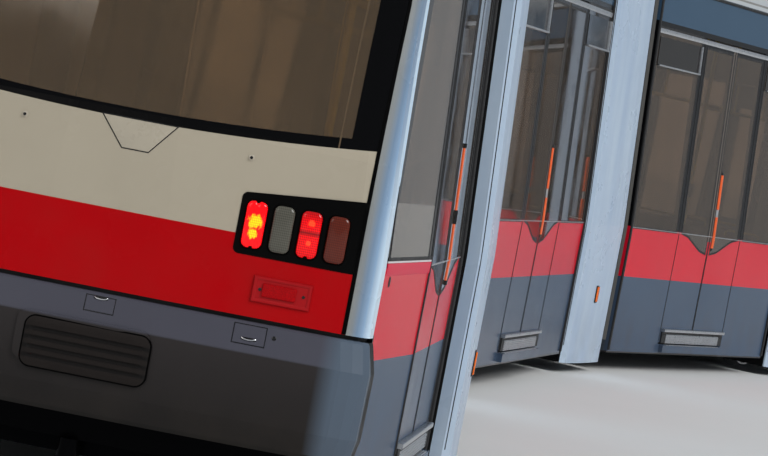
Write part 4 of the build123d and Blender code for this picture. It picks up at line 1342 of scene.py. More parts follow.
    def joints(self, k, name):
        """Rubber joints between the mask and the pillars and beside the bumper."""
        piece = Piece(name + "_joints", MODULE[k], finish("joint"))
        for hand in HANDS:
            rings = []
            for i in range(25):
                z = MASK_Z + 0.001 + (SCREEN_TOP - MASK_Z - 0.02) * i / 24.0
                y = MASK_EDGE - max(0.0, z - 2.125) * 0.039 / 0.520
                half = 0.0085 - 0.0030 * (z - MASK_Z) / (SCREEN_TOP - MASK_Z)
                rings.append(across(nose_spot(k, hand * (y + 0.003 - half), z),
                                    flat_band(half, 0.0025)))
            piece.loft(rings)
            piece.strip([wall_spot(k, SIDE[k] * (PILLAR_X - 0.012), z, hand)
                         for z in steps(0.30, BUMPER_TOP - 0.004, 11)], flat_band(0.008, 0.002))
        piece.done(body_of(k))


def pane_loops(k):
    """Outlines of the outer faces of a module's panes, as closed loops of local points."""
    mesh, groups = islands("glass_%d" % k, MODULE[k])
    loops = []
    for faces in groups:
        centre = sum((face.calc_center_median() for face in faces), Vector()) / len(faces)
        hand = 1.0 if centre.y > 0.0 else -1.0
        outer = [face for face in faces if face.normal.y * hand > 0.5]
        edges = {}
        for face in outer:
            for loop in face.loops:
                others = [other for other in loop.edge.link_faces if other is not face]
                if not any(other in outer for other in others):
                    edges[loop.vert] = loop.link_loop_next.vert
        start = vertex = next(iter(edges))
        chain = []
        while not chain or vertex is not start:
            chain.append(vertex.co.copy())
            vertex = edges[vertex]
        clean = [point for i, point in enumerate(chain)
                 if (point - chain[i - 1]).angle(chain[(i + 1) % len(chain)] - point) > 0.02]
        normal = sum((face.normal * face.calc_area() for face in outer), Vector()).normalized()
        loops.append((clean, normal, hand))
    mesh.free()
    return loops


def band_round(piece, loop, normal, rows):
    """Closed band along a loop of points, from rows of (inwards, outwards) round its section."""
    rings = []
    for inward, outward in rows:
        ring = []
        for before, here, after in corners_of(loop):
            side_a = normal.cross((here - before).normalized())
            side_b = normal.cross((after - here).normalized())
            mitre = (side_a + side_b).normalized()
            stretch = max(0.4, mitre.dot(side_a))
            ring.append(here + mitre * (inward / stretch) + normal * outward)
        rings.append(ring)
    piece.loft(rings, closed=True)


class TRAM_OT_seals(bpy.types.Operator):
    """Rubber seals round the windows and frames of the opening hoppers"""
    bl_idname = "tram.seals"
    bl_label = "Window seals"

    def execute(self, context):
        w, h = trim().seal_width, trim().seal_height
        section = ((-0.006, -0.003), (-0.005, h * 0.7), (0.0, h), (w * 0.8, h * 0.6),
                   (w, -0.0005), (w, -0.003))
        for k in MODULE:
            piece = Piece("window_seals_%d" % k, MODULE[k],
                          window_rubber(k) if k in SIDE else finish("rubber"), finish("metal"),
                          finish("hopper_pane"))
            for loop, normal, hand in pane_loops(k):
                piece.finish = 0
                band_round(piece, loop, normal, section)
                low, high = corners(loop)
                if low.z >= BELT_Z - 0.01 and high.x - low.x >= 0.8 and k not in SIDE:
                    self.hopper(piece, k, low.x + 0.03, high.x - 0.03, high.z, hand)
            piece.done(body_of(k))
        return {"FINISHED"}

    def hopper(self, piece, k, low, high, top, hand):
        """Tilting pane in the top of a window, with a light bar at its foot and one side."""
        z0, z1 = top - 0.285, top - 0.075
        _, normal = wall_seat(k, (low + high) / 2.0, (z0 + z1) / 2.0, hand)
        square = [wall_seat(k, x, z, hand)[0]
                  for x, z in ((low, z0), (high, z0), (high, z1), (low, z1))]
        turned = (square[1] - square[0]).cross(square[2] - square[1]).dot(normal) < 0.0
        pane = square[::-1] if turned else square
        piece.finish = 2
        piece.loft([[corner + normal * out for corner in pane] for out in (-0.002, 0.004)])
        piece.finish = 1
        for start, end, width in ((0, 1, 0.040), (1, 2, 0.034)):
            piece.bar(square[start] + normal * 0.004, square[end] + normal * 0.004, 0.012, width,
                      0.003, up=normal)


def leaf_boxes(k):
    """Low and high corners of a module's door leaves, in its own coordinates."""
    mesh, groups = islands("doors_%d" % k, MODULE[k])
    boxes = [corners([vertex.co for face in faces for vertex in face.verts]) for faces in groups]
    mesh.free()
    return sorted(boxes, key=lambda box: box[0].x)


def door_seam(k):
    """Where the two leaves of a module's door meet."""
    leaves = leaf_boxes(k)
    return (leaves[0][1].x + leaves[-1][0].x) / 2.0


def side_strip(piece, k, x, hand, z0, z1, width, layers, count=14):
    """Upright strip on the side of a module that follows its lean, from z0 to z1."""
    half = width / 2.0
    section = [(-half, -0.003), *[(cut - half, out) for cut, out in layers],
               *[(half - cut, out) for cut, out in reversed(layers)], (half, -0.003)]
    piece.strip([wall_spot(k, x, z, hand) for z in steps(z0, z1, count)], section)


class TRAM_OT_doors(bpy.types.Operator):
    """Rubber edges and ribbed steps of the doors"""
    bl_idname = "tram.doors"
    bl_label = "Doors"

    def execute(self, context):
        for k in MODULE:
            leaves = leaf_boxes(k)
            first, last = leaves[0], leaves[-1]
            seam = door_seam(k)
            edges = Piece("door_rubbers_%d" % k, MODULE[k], finish("rubber"), finish("metal"))
            for x in (seam - 0.010, seam + 0.010, first[0].x + 0.006, last[1].x - 0.006):
                side_strip(edges, k, x, -1.0, first[0].z + 0.01, first[1].z - 0.01, 0.012,
                           [(0.001, 0.0015), (0.004, 0.003)])
            edges.done(body_of(k))
            self.steps(k, first[0].x + 0.03, last[1].x - 0.03)
        return {"FINISHED"}

    def steps(self, k, low, high):
        """Light ledge and ribbed kick plate along the foot of the leaves, with black ends."""
        face_y = -HALF_W - 0.010
        piece = Piece("door_kick_%d" % k, MODULE[k], finish("metal"), finish("rubber"))
        black = 0.10        # length of the black ends
        # From, to, inwards of the face, height, thickness, height of the bar, edge, finish
        for x0, x1, back, z, thick, tall, edge, shade in (
                (low, low + black, 0.004, 0.268, 0.014, 0.070, 0.003, 1),
                (low + black, high - black, 0.004, 0.268, 0.014, 0.070, 0.003, 0),
                (high - black, high, 0.004, 0.268, 0.014, 0.070, 0.003, 1),
                (low, high, -0.004, 0.334, 0.030, 0.022, 0.004, 0),
                (low, high, 0.004, 0.313, 0.012, 0.018, 0.0, 1)):
            piece.finish = shade
            piece.bar((x0, face_y + back, z), (x1, face_y + back, z), thick, tall, edge)
        piece.done(body_of(k))
        middle = (low + high) / 2.0
        spots = [((middle, face_y - 0.003, 0.243 + 0.0125 * i), (0.0, -1.0, 0.0))
                 for i in range(5)]
        spots += [((middle, -HALF_W - y, 0.2205), (0.0, 0.0, 1.0)) for y in (0.006, 0.016, 0.026)]
        ribs = grown(point_cloud("door_step_ribs_%d" % k, MODULE[k], spots), "tram_ribs",
                     Radius=trim().step_rib, Length=high - low - 2.1 * black,
                     Turn=Vector((0.0, math.pi / 2.0, HEADING[k])), Finish=finish("metal"))
        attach(ribs, body_of(k))


# Orange bars on the meeting edge of the forward leaf: lower end, upper end, middle bracket
ORANGE_BAR = (1.000, 1.575, 1.275)
ORANGE_FROM_SEAM = {1: 0.20, 2: 0.06, 3: 0.03, 4: 0.08, 5: 0.06}
# Layers over the rear belt: middle height, height, how far it stands out
REAR_BELT = ((BELT_Z - 0.006, 0.050, 0.003), (BELT_Z + 0.023, 0.008, 0.004),
             (BELT_Z + 0.034, 0.014, 0.003))


class TRAM_OT_side_trim(bpy.types.Operator):
    """Orange edge strips, light rails, end lips and the rear belt of the sides"""
    bl_idname = "tram.side_trim"
    bl_label = "Side trim"

    def execute(self, context):
        for k in MODULE:
            self.rails(k)
            lips = Piece("end_lips_%d" % k, MODULE[k], finish("rubber"))
            ends = {1: (-START - 0.014,), 5: (START + 0.014,)}
            for x in ends.get(k, (START + 0.014, END - 0.014)):
                for hand in HANDS:
                    side_strip(lips, k, x, hand, SKIRT_Z + 0.02, EDGE_Z - 0.02, 0.024,
                               [(0.001, 0.010), (0.006, 0.016)], 16)
            lips.done(body_of(k))
        self.belt()
        for k in MODULE:
            self.orange_bar(k)
        return {"FINISHED"}

    def orange_bar(self, k):
        """Rounded orange bar in two lengths, with caps and a bracket between them."""
        width = trim().strip_width
        z0, z1, gap = ORANGE_BAR
        x = door_seam(k) + ORANGE_FROM_SEAM[k]
        piece = Piece("orange_bar_%d" % k, MODULE[k], finish("orange"), finish("plastic"),
                      finish("metal"))
        half = width / 2.0
        crown = (0.25 if k == 1 else 0.58) * half
        turns = [math.pi / 2.0 * i / 4.0 for i in range(5)]
        back = [(half * (1.0 - math.cos(turn)), 0.001 + crown * math.sin(turn)) for turn in turns]
        for a, b in ((z0, gap - 0.03), (gap + 0.03, z1)):
            side_strip(piece, k, x, -1.0, a, b, width, back, 6)
        for a, b, shade in ((z0 - 0.02, z0, 1), (gap - 0.03, gap + 0.03, 1 if k == 1 else 2),
                            (z1, z1 + 0.02, 1)):
            piece.finish = shade
            side_strip(piece, k, x, -1.0, a, b, width * 0.8, [(0.002, 0.006), (0.006, 0.010)], 2)
        piece.done(body_of(k))

    def belt(self):
        """Raised belt, black joint and slot between the rear pillar and the first door."""
        piece = Piece("rear_belt", MODULE[1], finish("side_panel"), finish("light_line"),
                      finish("rubber"))
        for hand in HANDS:
            for shade, (z, height, out) in enumerate(REAR_BELT):
                piece.finish = shade
                half = height / 2.0
                section = ((-0.004, -half), (0.0004, -half), (out, -height * 0.35), (out, half),
                           (-0.004, half))
                piece.loft([[wall_seat(1, x, z, hand)[0] + Vector((0.0, hand * u, v))
                             for u, v in section] for x in (0.015 - PILLAR_X, -TAPER_START)])
            side_strip(piece, 1, 0.010 - TAPER_START, hand, SKIRT_Z + 0.02, BELT_Z + 0.04, 0.026,
                       [(0.001, 0.004), (0.003, 0.006)])
            piece.plate(wall_spot(1, 0.125 - PILLAR_X, 1.030, hand),
                        rounded(0.040, 0.042, 0.018), [(0.0, -0.002), (0.0, 0.0012)])
        piece.done(body_of(1))

    def rails(self, k):
        """Light rail over the windows, black one at the roof's edge and a thin one at the belt."""
        piece = Piece("window_rails_%d" % k, MODULE[k], finish("metal"), finish("rubber"))
        low, high = ENDS[k]
        reach = (low + 0.02, high - 0.02)
        if k in SIDE:
            far = SIDE[k] * (PILLAR_X - 0.33)
            reach = (far, high - 0.02) if k == 1 else (low + 0.02, far)
        belt = (-TAPER_START, reach[1]) if k == 1 else reach
        for hand in HANDS:
            over = belt if hand > 0.0 else reach
            self.rail(piece, k, hand, over, WINDOW_TOP - 0.030, 0.034, 0.006, 0)
            self.rail(piece, k, hand, over, EDGE_Z - 0.012, 0.020, 0.014, 1)
            self.rail(piece, k, hand, belt, BELT_Z + 0.003, 0.006, 0.003, 0)
        piece.done(body_of(k))

    def rail(self, piece, k, hand, reach, z, height, out, shade):
        """Level rail along the side at one height."""
        piece.finish = shade
        half = height / 2.0
        section = ((-0.004, -half), (out * 0.6, -half), (out, -half * 0.5), (out, half * 0.5),
                   (out * 0.6, half), (-0.004, half))
        turning = {SIDE[k] * TAPER_START} if k in SIDE else set()
        rings = []
        for x in sorted({*reach} | turning):
            point, _ = wall_seat(k, x, z, hand)
            rings.append([(x, point.y + hand * u, z + v) for u, v in section])
        piece.loft(rings)


def portal_spot(k, x, z, hand, out=0.0):
    """Frame on the outer side wall of a portal, moved outwards if asked."""
    point, normal = seat(PORTAL[k], (x, hand * 2.0, z), (0.0, -hand, 0.0), ["portal_%d" % k])
    return facing(point + normal * out, normal)


class TRAM_OT_portals(bpy.types.Operator):
    """Reflectors, screws and edge joints of the portals"""
    bl_idname = "tram.portals"
    bl_label = "Portals"

    def execute(self, context):
        for k in PORTAL:
            piece = Piece("portal_trim_%d" % k, PORTAL[k], finish("side_reflector"),
                          finish("plastic"), finish("rubber"))
            spots = []
            for hand in HANDS:
                spot = portal_spot(k, 0.0, 0.58, hand)
                piece.finish = 1
                piece.plate(spot, rounded(0.070, 0.126, 0.008, 2),
                            [(0.0, -0.002), (0.0, 0.004), (0.003, 0.006)])
                piece.finish = 0
                piece.plate(spot, rounded(0.052, 0.108, 0.004, 2),
                            [(0.0, 0.004), (0.0, 0.010), (0.003, 0.012)])
                for z in (0.30, 0.62, 1.02, 1.50, 2.00, 2.50, 2.84):
                    for x in (0.06 - PORTAL_HALF, PORTAL_HALF - 0.06):
                        at = portal_spot(k, x, z, hand, -0.0058)
                        spots.append((at.to_translation(), at.col[2].to_3d()))
                piece.finish = 2
                for x in (0.012 - PORTAL_HALF, PORTAL_HALF - 0.012):
                    piece.strip([portal_spot(k, x, z, hand)
                                 for z in steps(0.20, EDGE_Z - 0.04, 22)],
                                flat_band(0.003, 0.0012, -0.003))
            piece.done(portal_body(k))
            screws("portal_screws_%d" % k, PORTAL[k], spots, portal_body(k))
        return {"FINISHED"}


# Bellows: lower and upper height and distance inside the module's skin
BELLOWS_Z = (0.205, 2.865)
BELLOWS_IN = 0.056
BELLOWS_WALL = 0.010


class TRAM_OT_bellows(bpy.types.Operator):
    """Pleated rubber sleeves between the portals and the modules"""
    bl_idname = "tram.bellows"
    bl_label = "Bellows"

    def execute(self, context):
        for k in PORTAL:
            rear = (MODULE[k], -START if k == 1 else END, body_of(k))
            front = (MODULE[k + 1], START, body_of(k + 1))
            near, far = ((PORTAL[k], x, portal_body(k)) for x in (-PORTAL_HALF, PORTAL_HALF))
            for name, a, b in (("rear", rear, near), ("front", far, front)):
                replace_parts(self.sleeve("bellows_%d_%s" % (k, name), a, b), "bellows_%d" % k)
        return {"FINISHED"}

    def outline(self, shrink):
        """Section of the sleeve: (y, z), with round corners."""
        low, top = BELLOWS_Z[0] + shrink, BELLOWS_Z[1] - shrink
        wide, narrow = (w - BELLOWS_IN - shrink for w in (HALF_W, EDGE_W))
        section = [(-wide, low), (wide, low), (wide, BELT_Z), (narrow, top), (-narrow, top),
                   (-wide, BELT_Z)]
        radius = 0.09
        points = []
        for before, here, after in corners_of([Vector(corner) for corner in section]):
            a, b = (before - here).normalized(), (after - here).normalized()
            if abs(a.angle(b) - math.pi) < 0.2:
                points += [here + a * 0.3, here, here + b * 0.3]
                continue
            p, q = here + a * radius, here + b * radius
            points += [p.lerp(here, t).lerp(here.lerp(q, t), t) for t in steps(0.0, 1.0, 6)]
        return points

    def outward(self, y, z):
        """Way in which a pleat moves at a point of the section, square to its nearer wall."""
        across, up = y / HALF_W, (z - 1.5) * 0.75 / HALF_W
        if abs(across) > abs(up):
            return Vector((0.0, math.copysign(1.0, across), up * 0.4))
        return Vector((0.0, across * 0.4, math.copysign(1.0, up)))

    def sleeve(self, name, start, end):
        """Double-walled sleeve between two ends, each a place, its x and its body; the body is not
        used.
        """
        (place_a, x_a, body_a), (place_b, x_b, body_b) = start, end
        folds = trim().folds
        count = folds * 8
        data = bmesh.new()
        run_layer = data.verts.layers.float.new("run")
        out_layer = data.verts.layers.float_vector.new("out")
        outer, inner = self.outline(0.0), self.outline(BELLOWS_WALL)
        turn_a, turn_b = place_a.to_3x3(), place_b.to_3x3()
        rows = []
        for shape, order in ((outer, range(count + 1)), (inner, range(count, -1, -1))):
            for i in order:
                t = i / count
                row = []
                for (y, z), beside in zip(shape, outer):
                    a, b = place_a @ Vector((x_a, y, z)), place_b @ Vector((x_b, y, z))
                    away = self.outward(*beside)
                    vertex = data.verts.new(a.lerp(b, t))
                    vertex[run_layer] = t
                    vertex[out_layer] = (turn_a @ away).lerp(turn_b @ away, t)
                    row.append(vertex)
                rows.append(row)
        for low, high in zip(rows, rows[1:] + rows[:1]):
            for i in range(len(low)):
                j = (i + 1) % len(low)
                data.faces.new((low[i], low[j], high[j], high[i]))
        bmesh.ops.recalc_face_normals(data, faces=data.faces)
        mesh = bpy.data.meshes.new(name)
        data.to_mesh(mesh)
        data.free()
        made = grown(in_scene(name, mesh), "tram_folds", Folds=float(folds),
                     Depth=trim().fold_depth, Finish=finish("bellows"))
        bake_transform(made)
        return made


# Roof housings of each module: from, to, half width, height over the roof
HOUSINGS = {
    1: ((-3.000, -1.100, 0.780, 0.290),),
    2: ((START + 0.360, END - 0.390, 0.800, 0.300),),
    3: ((START + 0.110, START + 0.910, 0.760, 0.250), (END - 0.940, END - 0.140, 0.760, 0.250)),
    4: ((START + 0.360, END - 0.390, 0.800, 0.300),),
    5: ((START + 0.160, 2.700, 0.760, 0.270),),
}


class TRAM_OT_roof(bpy.types.Operator):
    """Lids, lifting handles and cable runs of the roof"""
    bl_idname = "tram.roof"
    bl_label = "Roof"

    def execute(self, context):
        for k in MODULE:
            piece = Piece("roof_fittings_%d" % k, MODULE[k], finish("roof_cover"),
                          finish("plastic"), finish("metal"))
            spots = []
            for x0, x1, half, height in HOUSINGS[k]:
                count = max(2, round((x1 - x0) / 0.85))
                pitch = (x1 - x0 - 0.24) / count
                for i in range(count):
                    spots += self.lid(piece, x0 + 0.12 + pitch * (i + 0.5), pitch, half,
                                      ROOF_Z + height)
            piece.finish = 1
            low, high = ENDS[k]
            x0 = -2.9 if k == 1 else low + 0.05
            x1 = 2.9 if k == 5 else high - 0.05
            for y in (-0.86, 0.86):
                piece.tube([(x0, y, ROOF_Z + 0.016), (x1, y, ROOF_Z + 0.016)], 0.016)
            piece.done(body_of(k))
            screws("roof_screws_%d" % k, MODULE[k], spots, body_of(k), size=1.5)
        return {"FINISHED"}

    def lid(self, piece, x, pitch, half, top):
        """Lid of a housing with two handles; gives the places of its screws."""
        piece.finish = 0
        piece.plate(Matrix.Translation((x, 0.0, top)), rounded(pitch - 0.06, 2.0 * half - 0.34,
                                                               0.05, 3),
                    [(0.0, -0.004), (0.0, 0.004), (0.005, 0.007)])
        piece.finish = 2
        spots = []
        for hand in HANDS:
            piece.tube([(x + dx, hand * (half - 0.20), top + dz)
                        for dx, dz in ((-0.05, 0.005), (-0.04, 0.0095), (0.04, 0.0095),
                                       (0.05, 0.005))], 0.003, 8)
            spots += [((x + side * (pitch / 2.0 - 0.07), hand * (half - 0.22), top + 0.003),
                       (0.0, 0.0, 1.0)) for side in (-1.0, 1.0)]
        return spots


# Pantograph on the middle module, in its own coordinates
PAN_FEET = (1.980, 2.900)
PAN_RAIL_Y = 0.380
PAN_FOOT = (2.250, 3.165)
PAN_KNEE = (3.550, 3.190)
PAN_HEAD = (2.420, 3.235)
PAN_STRIPS = (2.250, 2.590)
INSULATOR = ((0.045, 0.006), (0.072, 0.012), (0.050, 0.017), (0.050, 0.022), (0.072, 0.028),
             (0.050, 0.033), (0.050, 0.038), (0.072, 0.044), (0.045, 0.049))


class TRAM_OT_pantograph(bpy.types.Operator):
    """Insulators, lift drive, nuts, stays and links of the pantograph"""
    bl_idname = "tram.pantograph"
    bl_label = "Pantograph"

    def execute(self, context):
        self.base()
        self.upper_arm()
        self.bow()
        return {"FINISHED"}

    def base(self):
        """Insulators and nuts of the four feet, the arrester, the lift drive and its rod."""
        piece = Piece("pan_base_fittings", MODULE[3], finish("insulator"), finish("metal"),
                      finish("cast"))
        for x in PAN_FEET:
            for y in (-PAN_RAIL_Y, PAN_RAIL_Y):
                spot = Matrix.Translation((x, y, ROOF_Z))
                piece.finish = 0
                piece.lathe(spot, INSULATOR)
                piece.finish = 1
                piece.lathe(spot, [(0.018, 0.094), (0.018, 0.106), (0.012, 0.108)], 6)
        piece.finish = 0
        arrester = [(0.030, 0.0)]
        for i in range(5):
            z = 0.012 + 0.016 * i
            arrester += [(0.024, z), (0.044, z + 0.006), (0.024, z + 0.012)]
        piece.lathe(Matrix.Translation((2.560, 0.255, ROOF_Z + 0.002)), arrester)
        start = Vector((2.860, 0.120, ROOF_Z + 0.122))
        end = Vector((2.330, 0.120, ROOF_Z + 0.142))
        for shade, a, b, radius, sides in ((2, 0.0, 0.6, 0.034, 16), (2, 0.6, 0.64, 0.026, 16),
                                           (1, 0.6, 1.0, 0.012, 10)):
            piece.finish = shade
            piece.tube([start.lerp(end, a), start.lerp(end, b)], radius, sides)
        self.nuts(piece, PAN_FOOT, 0.064)
        piece.done(body_of(3))

    def upper_arm(self):
        """Nuts on the knee and head pins and rungs between the two tubes."""
        piece = Piece("pan_upper_fittings", MODULE[3], finish("metal"), finish("cast"))
        for hand in HANDS:
            for pin in (PAN_KNEE, PAN_HEAD):
                self.nut(piece, pin, hand, 0.072)
        z = PAN_KNEE[1] + 0.019
        for x in (2.620, 2.930, 3.240):
            piece.tube([(x, -0.064, z), (x, 0.064, z)], 0.009)
        piece.done("pan_upper_arm")

    def bow(self):
        """Links between the two strips and the clamps on them."""
        piece = Piece("pan_bow_fittings", MODULE[3], finish("metal"), finish("cast"))
        rear, front = PAN_STRIPS
        for y, more, z, radius in ((0.500, 0.010, 0.066, 0.007), (0.852, 0.0, 0.003, 0.008)):
            for hand in HANDS:
                piece.tube([(rear - more, hand * y, PAN_HEAD[1] + z),
                            (front + more, hand * y, PAN_HEAD[1] + z)], radius, 8)
        piece.finish = 1
        for x in PAN_STRIPS:
            for y in (-0.630, -0.500, -0.180, 0.180, 0.500, 0.630):
                for side in (-0.024, 0.024):
                    piece.plate(Matrix.Translation((x + side, y, PAN_HEAD[1] + 0.086)),
                                rectangle(0.006, 0.036), [(0.0, -0.010), (0.0, 0.010)])
        piece.done("pan_bow")

    def nuts(self, piece, pin, reach):
        for hand in HANDS:
            self.nut(piece, pin, hand, reach)

    def nut(self, piece, pin, hand, reach):
        """Six-sided nut on the end of a level pin at (x, z)."""
        spot = facing((pin[0], hand * (reach - 0.002), pin[1]), (0.0, hand, 0.0))
        piece.lathe(spot, [(0.022, 0.0), (0.022, 0.011), (0.018, 0.013)], 6)


class TRAM_OT_interior(bpy.types.Operator):
    """Ceiling lamps, grab rails, seat grips and call buttons"""
    bl_idname = "tram.interior"
    bl_label = "Interior"

    def execute(self, context):
        for k in MODULE:
            low = 0.4 - OVERHANG if k == 1 else ENDS[k][0]
            high = TAPER_START if k == 5 else ENDS[k][1]
            self.ceiling(k, low + 0.15, high - 0.15)
            fittings = Piece("seat_fittings_%d" % k, MODULE[k], finish("grip"), finish("plastic"),
                             finish("call_button"))
            mesh, groups = islands("interior_%d" % k, MODULE[k])
            for faces in groups:
                points = [vertex.co.copy() for face in faces for vertex in face.verts]
                low, high = corners(points)
                if high.z - low.z > 1.5:
                    self.call_button(fittings, (low + high) / 2.0)
                elif high.y - low.y > 0.3:
                    self.grip(fittings, points, low, high)
            mesh.free()
            fittings.done(body_of(k))
        return {"FINISHED"}

    def ceiling(self, k, low, high):
        """Two rows of lamps and two grab rails under the ceiling."""
        piece = Piece("ceiling_%d" % k, MODULE[k], finish("lamp_cover"), finish("grip"))
        count = max(2, round(high - low))
        step = (high - low) / count
        z = FLOOR_Z + 1.880
        for hand in HANDS:
            piece.finish = 0
            for i in range(count):
                top = self.above(k, low + step * (i + 0.5), hand * 0.420, 1.6)
                piece.plate(facing(top, (0.0, 0.0, -1.0), (1.0, 0.0, 0.0)),
                            rounded(0.130, step - 0.06, 0.020, 3),
                            [(0.0, -0.003), (0.0, 0.012), (0.012, 0.024)])
            piece.finish = 1
            y = hand * 0.560
            piece.tube([(low + 0.05, y, z), (high - 0.05, y, z)], 0.016)
            for x in steps(low + 0.08, high - 0.08, count):
                top = self.above(k, x, y, z + 0.1)
                piece.tube([(x, y, z), (x, y, top.z + 0.002)], 0.011, 8)
        piece.done(body_of(k))

    def above(self, k, x, y, z):
        """Point of the ceiling over a point."""
        return seat(MODULE[k], (x, y, z), (0.0, 0.0, 1.0), ["body_%d" % k])[0]

    def call_button(self, piece, middle):
        """Box with a round button on a pole, on its aisle side."""
        spot = facing((middle.x, middle.y, FLOOR_Z + 1.180), (0.0, 1.0, 0.0))
        piece.finish = 1
        piece.plate(spot, rounded(0.060, 0.110, 0.014, 3),
                    [(0.0, -0.024), (0.0, 0.030), (0.006, 0.036)])
        piece.finish = 2
        piece.lathe(spot, [(0.018, 0.034), (0.018, 0.040), (0.014, 0.043)], 16)

    def grip(self, piece, points, low, high):
        """Handle along the top of a seat's back."""
        top = [point.x for point in points if point.z > high.z - 0.05]
        x = sum(top) / len(top)
        y0, y1 = low.y + 0.08, high.y - 0.08
        piece.finish = 0
        piece.tube([(x, y, high.z + up) for y, up in (
            (y0, -0.01), (y0, 0.030), (y0 + 0.02, 0.042), (y1 - 0.02, 0.042), (y1, 0.030),
            (y1, -0.01))], 0.011, 8)


class TRAM_OT_cab(bpy.types.Operator):
    """Displays, buttons, lever and meters of the desk"""
    bl_idname = "tram.cab"
    bl_label = "Desk"

    def execute(self, context):
        piece = Piece("desk_controls", MODULE[5], finish("plastic"), finish("display"),
                      finish("call_button"), finish("metal"))
        for y in (-0.080, 0.440):
            spot = self.desk(3.270, y)
            piece.finish = 0
            piece.plate(spot, rounded(0.230, 0.160, 0.010, 2),
                        [(0.0, -0.004), (0.0, 0.012), (0.004, 0.016)])
            piece.finish = 1
            piece.plate(spot, rounded(0.194, 0.120, 0.004, 2), [(0.0, 0.015), (0.0, 0.017)])
        for y in (0.125, 0.235):
            spot = self.desk(3.280, y)
            piece.finish = 0
            piece.lathe(spot, [(0.048, -0.003), (0.048, 0.010), (0.042, 0.014)], 28)
            piece.finish = 1
            piece.lathe(spot, [(0.038, 0.012), (0.038, 0.015)], 28)
        for row in range(3):
            for column in range(7):
                piece.finish = 2 if (row + column) % 5 == 0 else 3
                piece.lathe(self.desk(3.175 + 0.032 * row, -0.520 + 0.040 * column),
                            [(0.010, -0.002), (0.010, 0.005), (0.008, 0.007)], 12)
        spot = self.desk(3.170, 0.620)
        piece.finish = 0
        piece.plate(spot, rounded(0.070, 0.180, 0.012, 3),
                    [(0.0, -0.003), (0.0, 0.006), (0.003, 0.008)])
        piece.finish = 3
        piece.lathe(spot, [(0.010, 0.006), (0.009, 0.090)], 12)
        piece.finish = 0
        piece.lathe(spot, [(0.010, 0.085), (0.022, 0.094), (0.026, 0.110), (0.020, 0.126),
                           (0.006, 0.130)], 16)
        piece.done(body_of(5))
        return {"FINISHED"}

    def desk(self, x, y):
        """Frame on the desk under a point, with its top towards the screen."""
        point, normal = seat(MODULE[5], (x, y, 1.6), (0.0, 0.0, -1.0), ["cab"])
        return facing(point, normal, (1.0, 0.0, 0.0))


class TRAM_OT_wheels(bpy.types.Operator):
    """Bolt rings of the wheels"""
    bl_idname = "tram.wheels"
    bl_label = "Wheels"

    def execute(self, context):
        for k in PORTAL:
            for side, tag, hand in (("left", "l", 1.0), ("right", "r", -1.0)):
                spots = []
                for i in range(12):
                    turn = math.radians(30.0 * i + 15.0)
                    spots.append(((BOLT_RING * math.cos(turn), hand * WHEEL_FACE_Y,
                                   AXLE_Z + BOLT_RING * math.sin(turn)), (0.0, hand, 0.0)))
                screws("wheel_bolts_%d_%s" % (k, tag), PORTAL[k], spots,
                       "wheel_%s_%d" % (side, k), "cast", 1.8)
        return {"FINISHED"}


class TRAM_OT_paint(bpy.types.Operator):
    """Gives every solid of the vehicle its finish"""
    bl_idname = "tram.paint"
    bl_label = "Paint"

    def execute(self, context):
        table = {}
        for k in MODULE:
            table["body_%d" % k] = livery_finish("body_paint_%d" % k, k, 0.023)
            table["doors_%d" % k] = livery_finish("door_paint_%d" % k, k, 0.019, door_seam(k))
            table["glass_%d" % k] = tinted_glass("side_glass_%d" % k, k)
            table["interior_%d" % k] = seat_finish("seats_%d" % k, k)
        for k, name in END_NAME.items():
            for kind in ("mask", "frame", "bumper"):
                table[name + "_" + kind] = end_finish("%s_%s_paint" % (name, kind), k, kind)
            table[name + "_screen"] = screen_glass(name + "_screen_glass", k)
            table[name + "_lamps"] = surface(
                name + "_bezel", tone(4, 4, 4), (0.3, 9.0), (0.1, 0.2, 9.0),
                (5.0, 0.0008, 0.1, 1.0), Specular_IOR_Level=0.05)
        gear = plain_finish("gear_case", tone(70, 72, 74), 0.45, 0.7, 0.4)
        for k in PORTAL:
            table["portal_%d" % k] = portal_finish("portal_paint_%d" % k, k)
            for tag in ("l", "r"):
                table["wheel_%d_%s" % (k, tag)] = wheel_finish("wheel_%d_%s" % (k, tag), k)
            table["drive_%d" % k] = gear
            table["bellows_%d" % k] = finish("bellows")
        table["cab"] = plain_finish("cab_trim", tone(86, 88, 92), 0.4, 0.6)
        pan = plain_finish("pan_frame", tone(150, 44, 36), 0.4, 0.6)
        table.update(pan_base=pan, pan_lower=pan, pan_upper=pan, pan_head=bow_finish())
        for name, obj in NODES.items():
            obj.data.materials.clear()
            obj.data.materials.append(table[name])
        return {"FINISHED"}


def cover_finishes():
    """Finishes of loose covers, in the colours of what they lie on."""
    for k, name in END_NAME.items():
        cover, pad, mask = (name + part for part in ("_bumper_cover", "_bumper_pad",
                                                     "_mask_cover"))
        # The bumper's flap covers take the ledge colour, a painted sky reflection
        FINISHES[cover] = dull_finish(cover, livery().ledge)
        FINISHES[pad] = pad_finish(pad, k)
        FINISHES[mask] = plain_finish(mask, livery().cream, 0.22, 0.36, soiled=0.08, bump=0.0002)


# Camera of the photograph: place in metres, heading, pitch and roll in degrees
CAMERA_AT = (-27.886, -5.400, 1.783)
CAMERA_HEADING = 10.7
CAMERA_PITCH = -1.9
CAMERA_ROLL = 10.85


def turned_lamp(name, kind, way, power, **settings):
    """Lamp of a kind that shines along a way."""
    data = bpy.data.lights.new(name, kind)
    data.energy = power
    for key, value in settings.items():
        setattr(data, key, value)
    lamp = in_scene(name, data)
    lamp.rotation_euler = Vector(way).to_track_quat("-Z", "Y").to_euler()
    return lamp


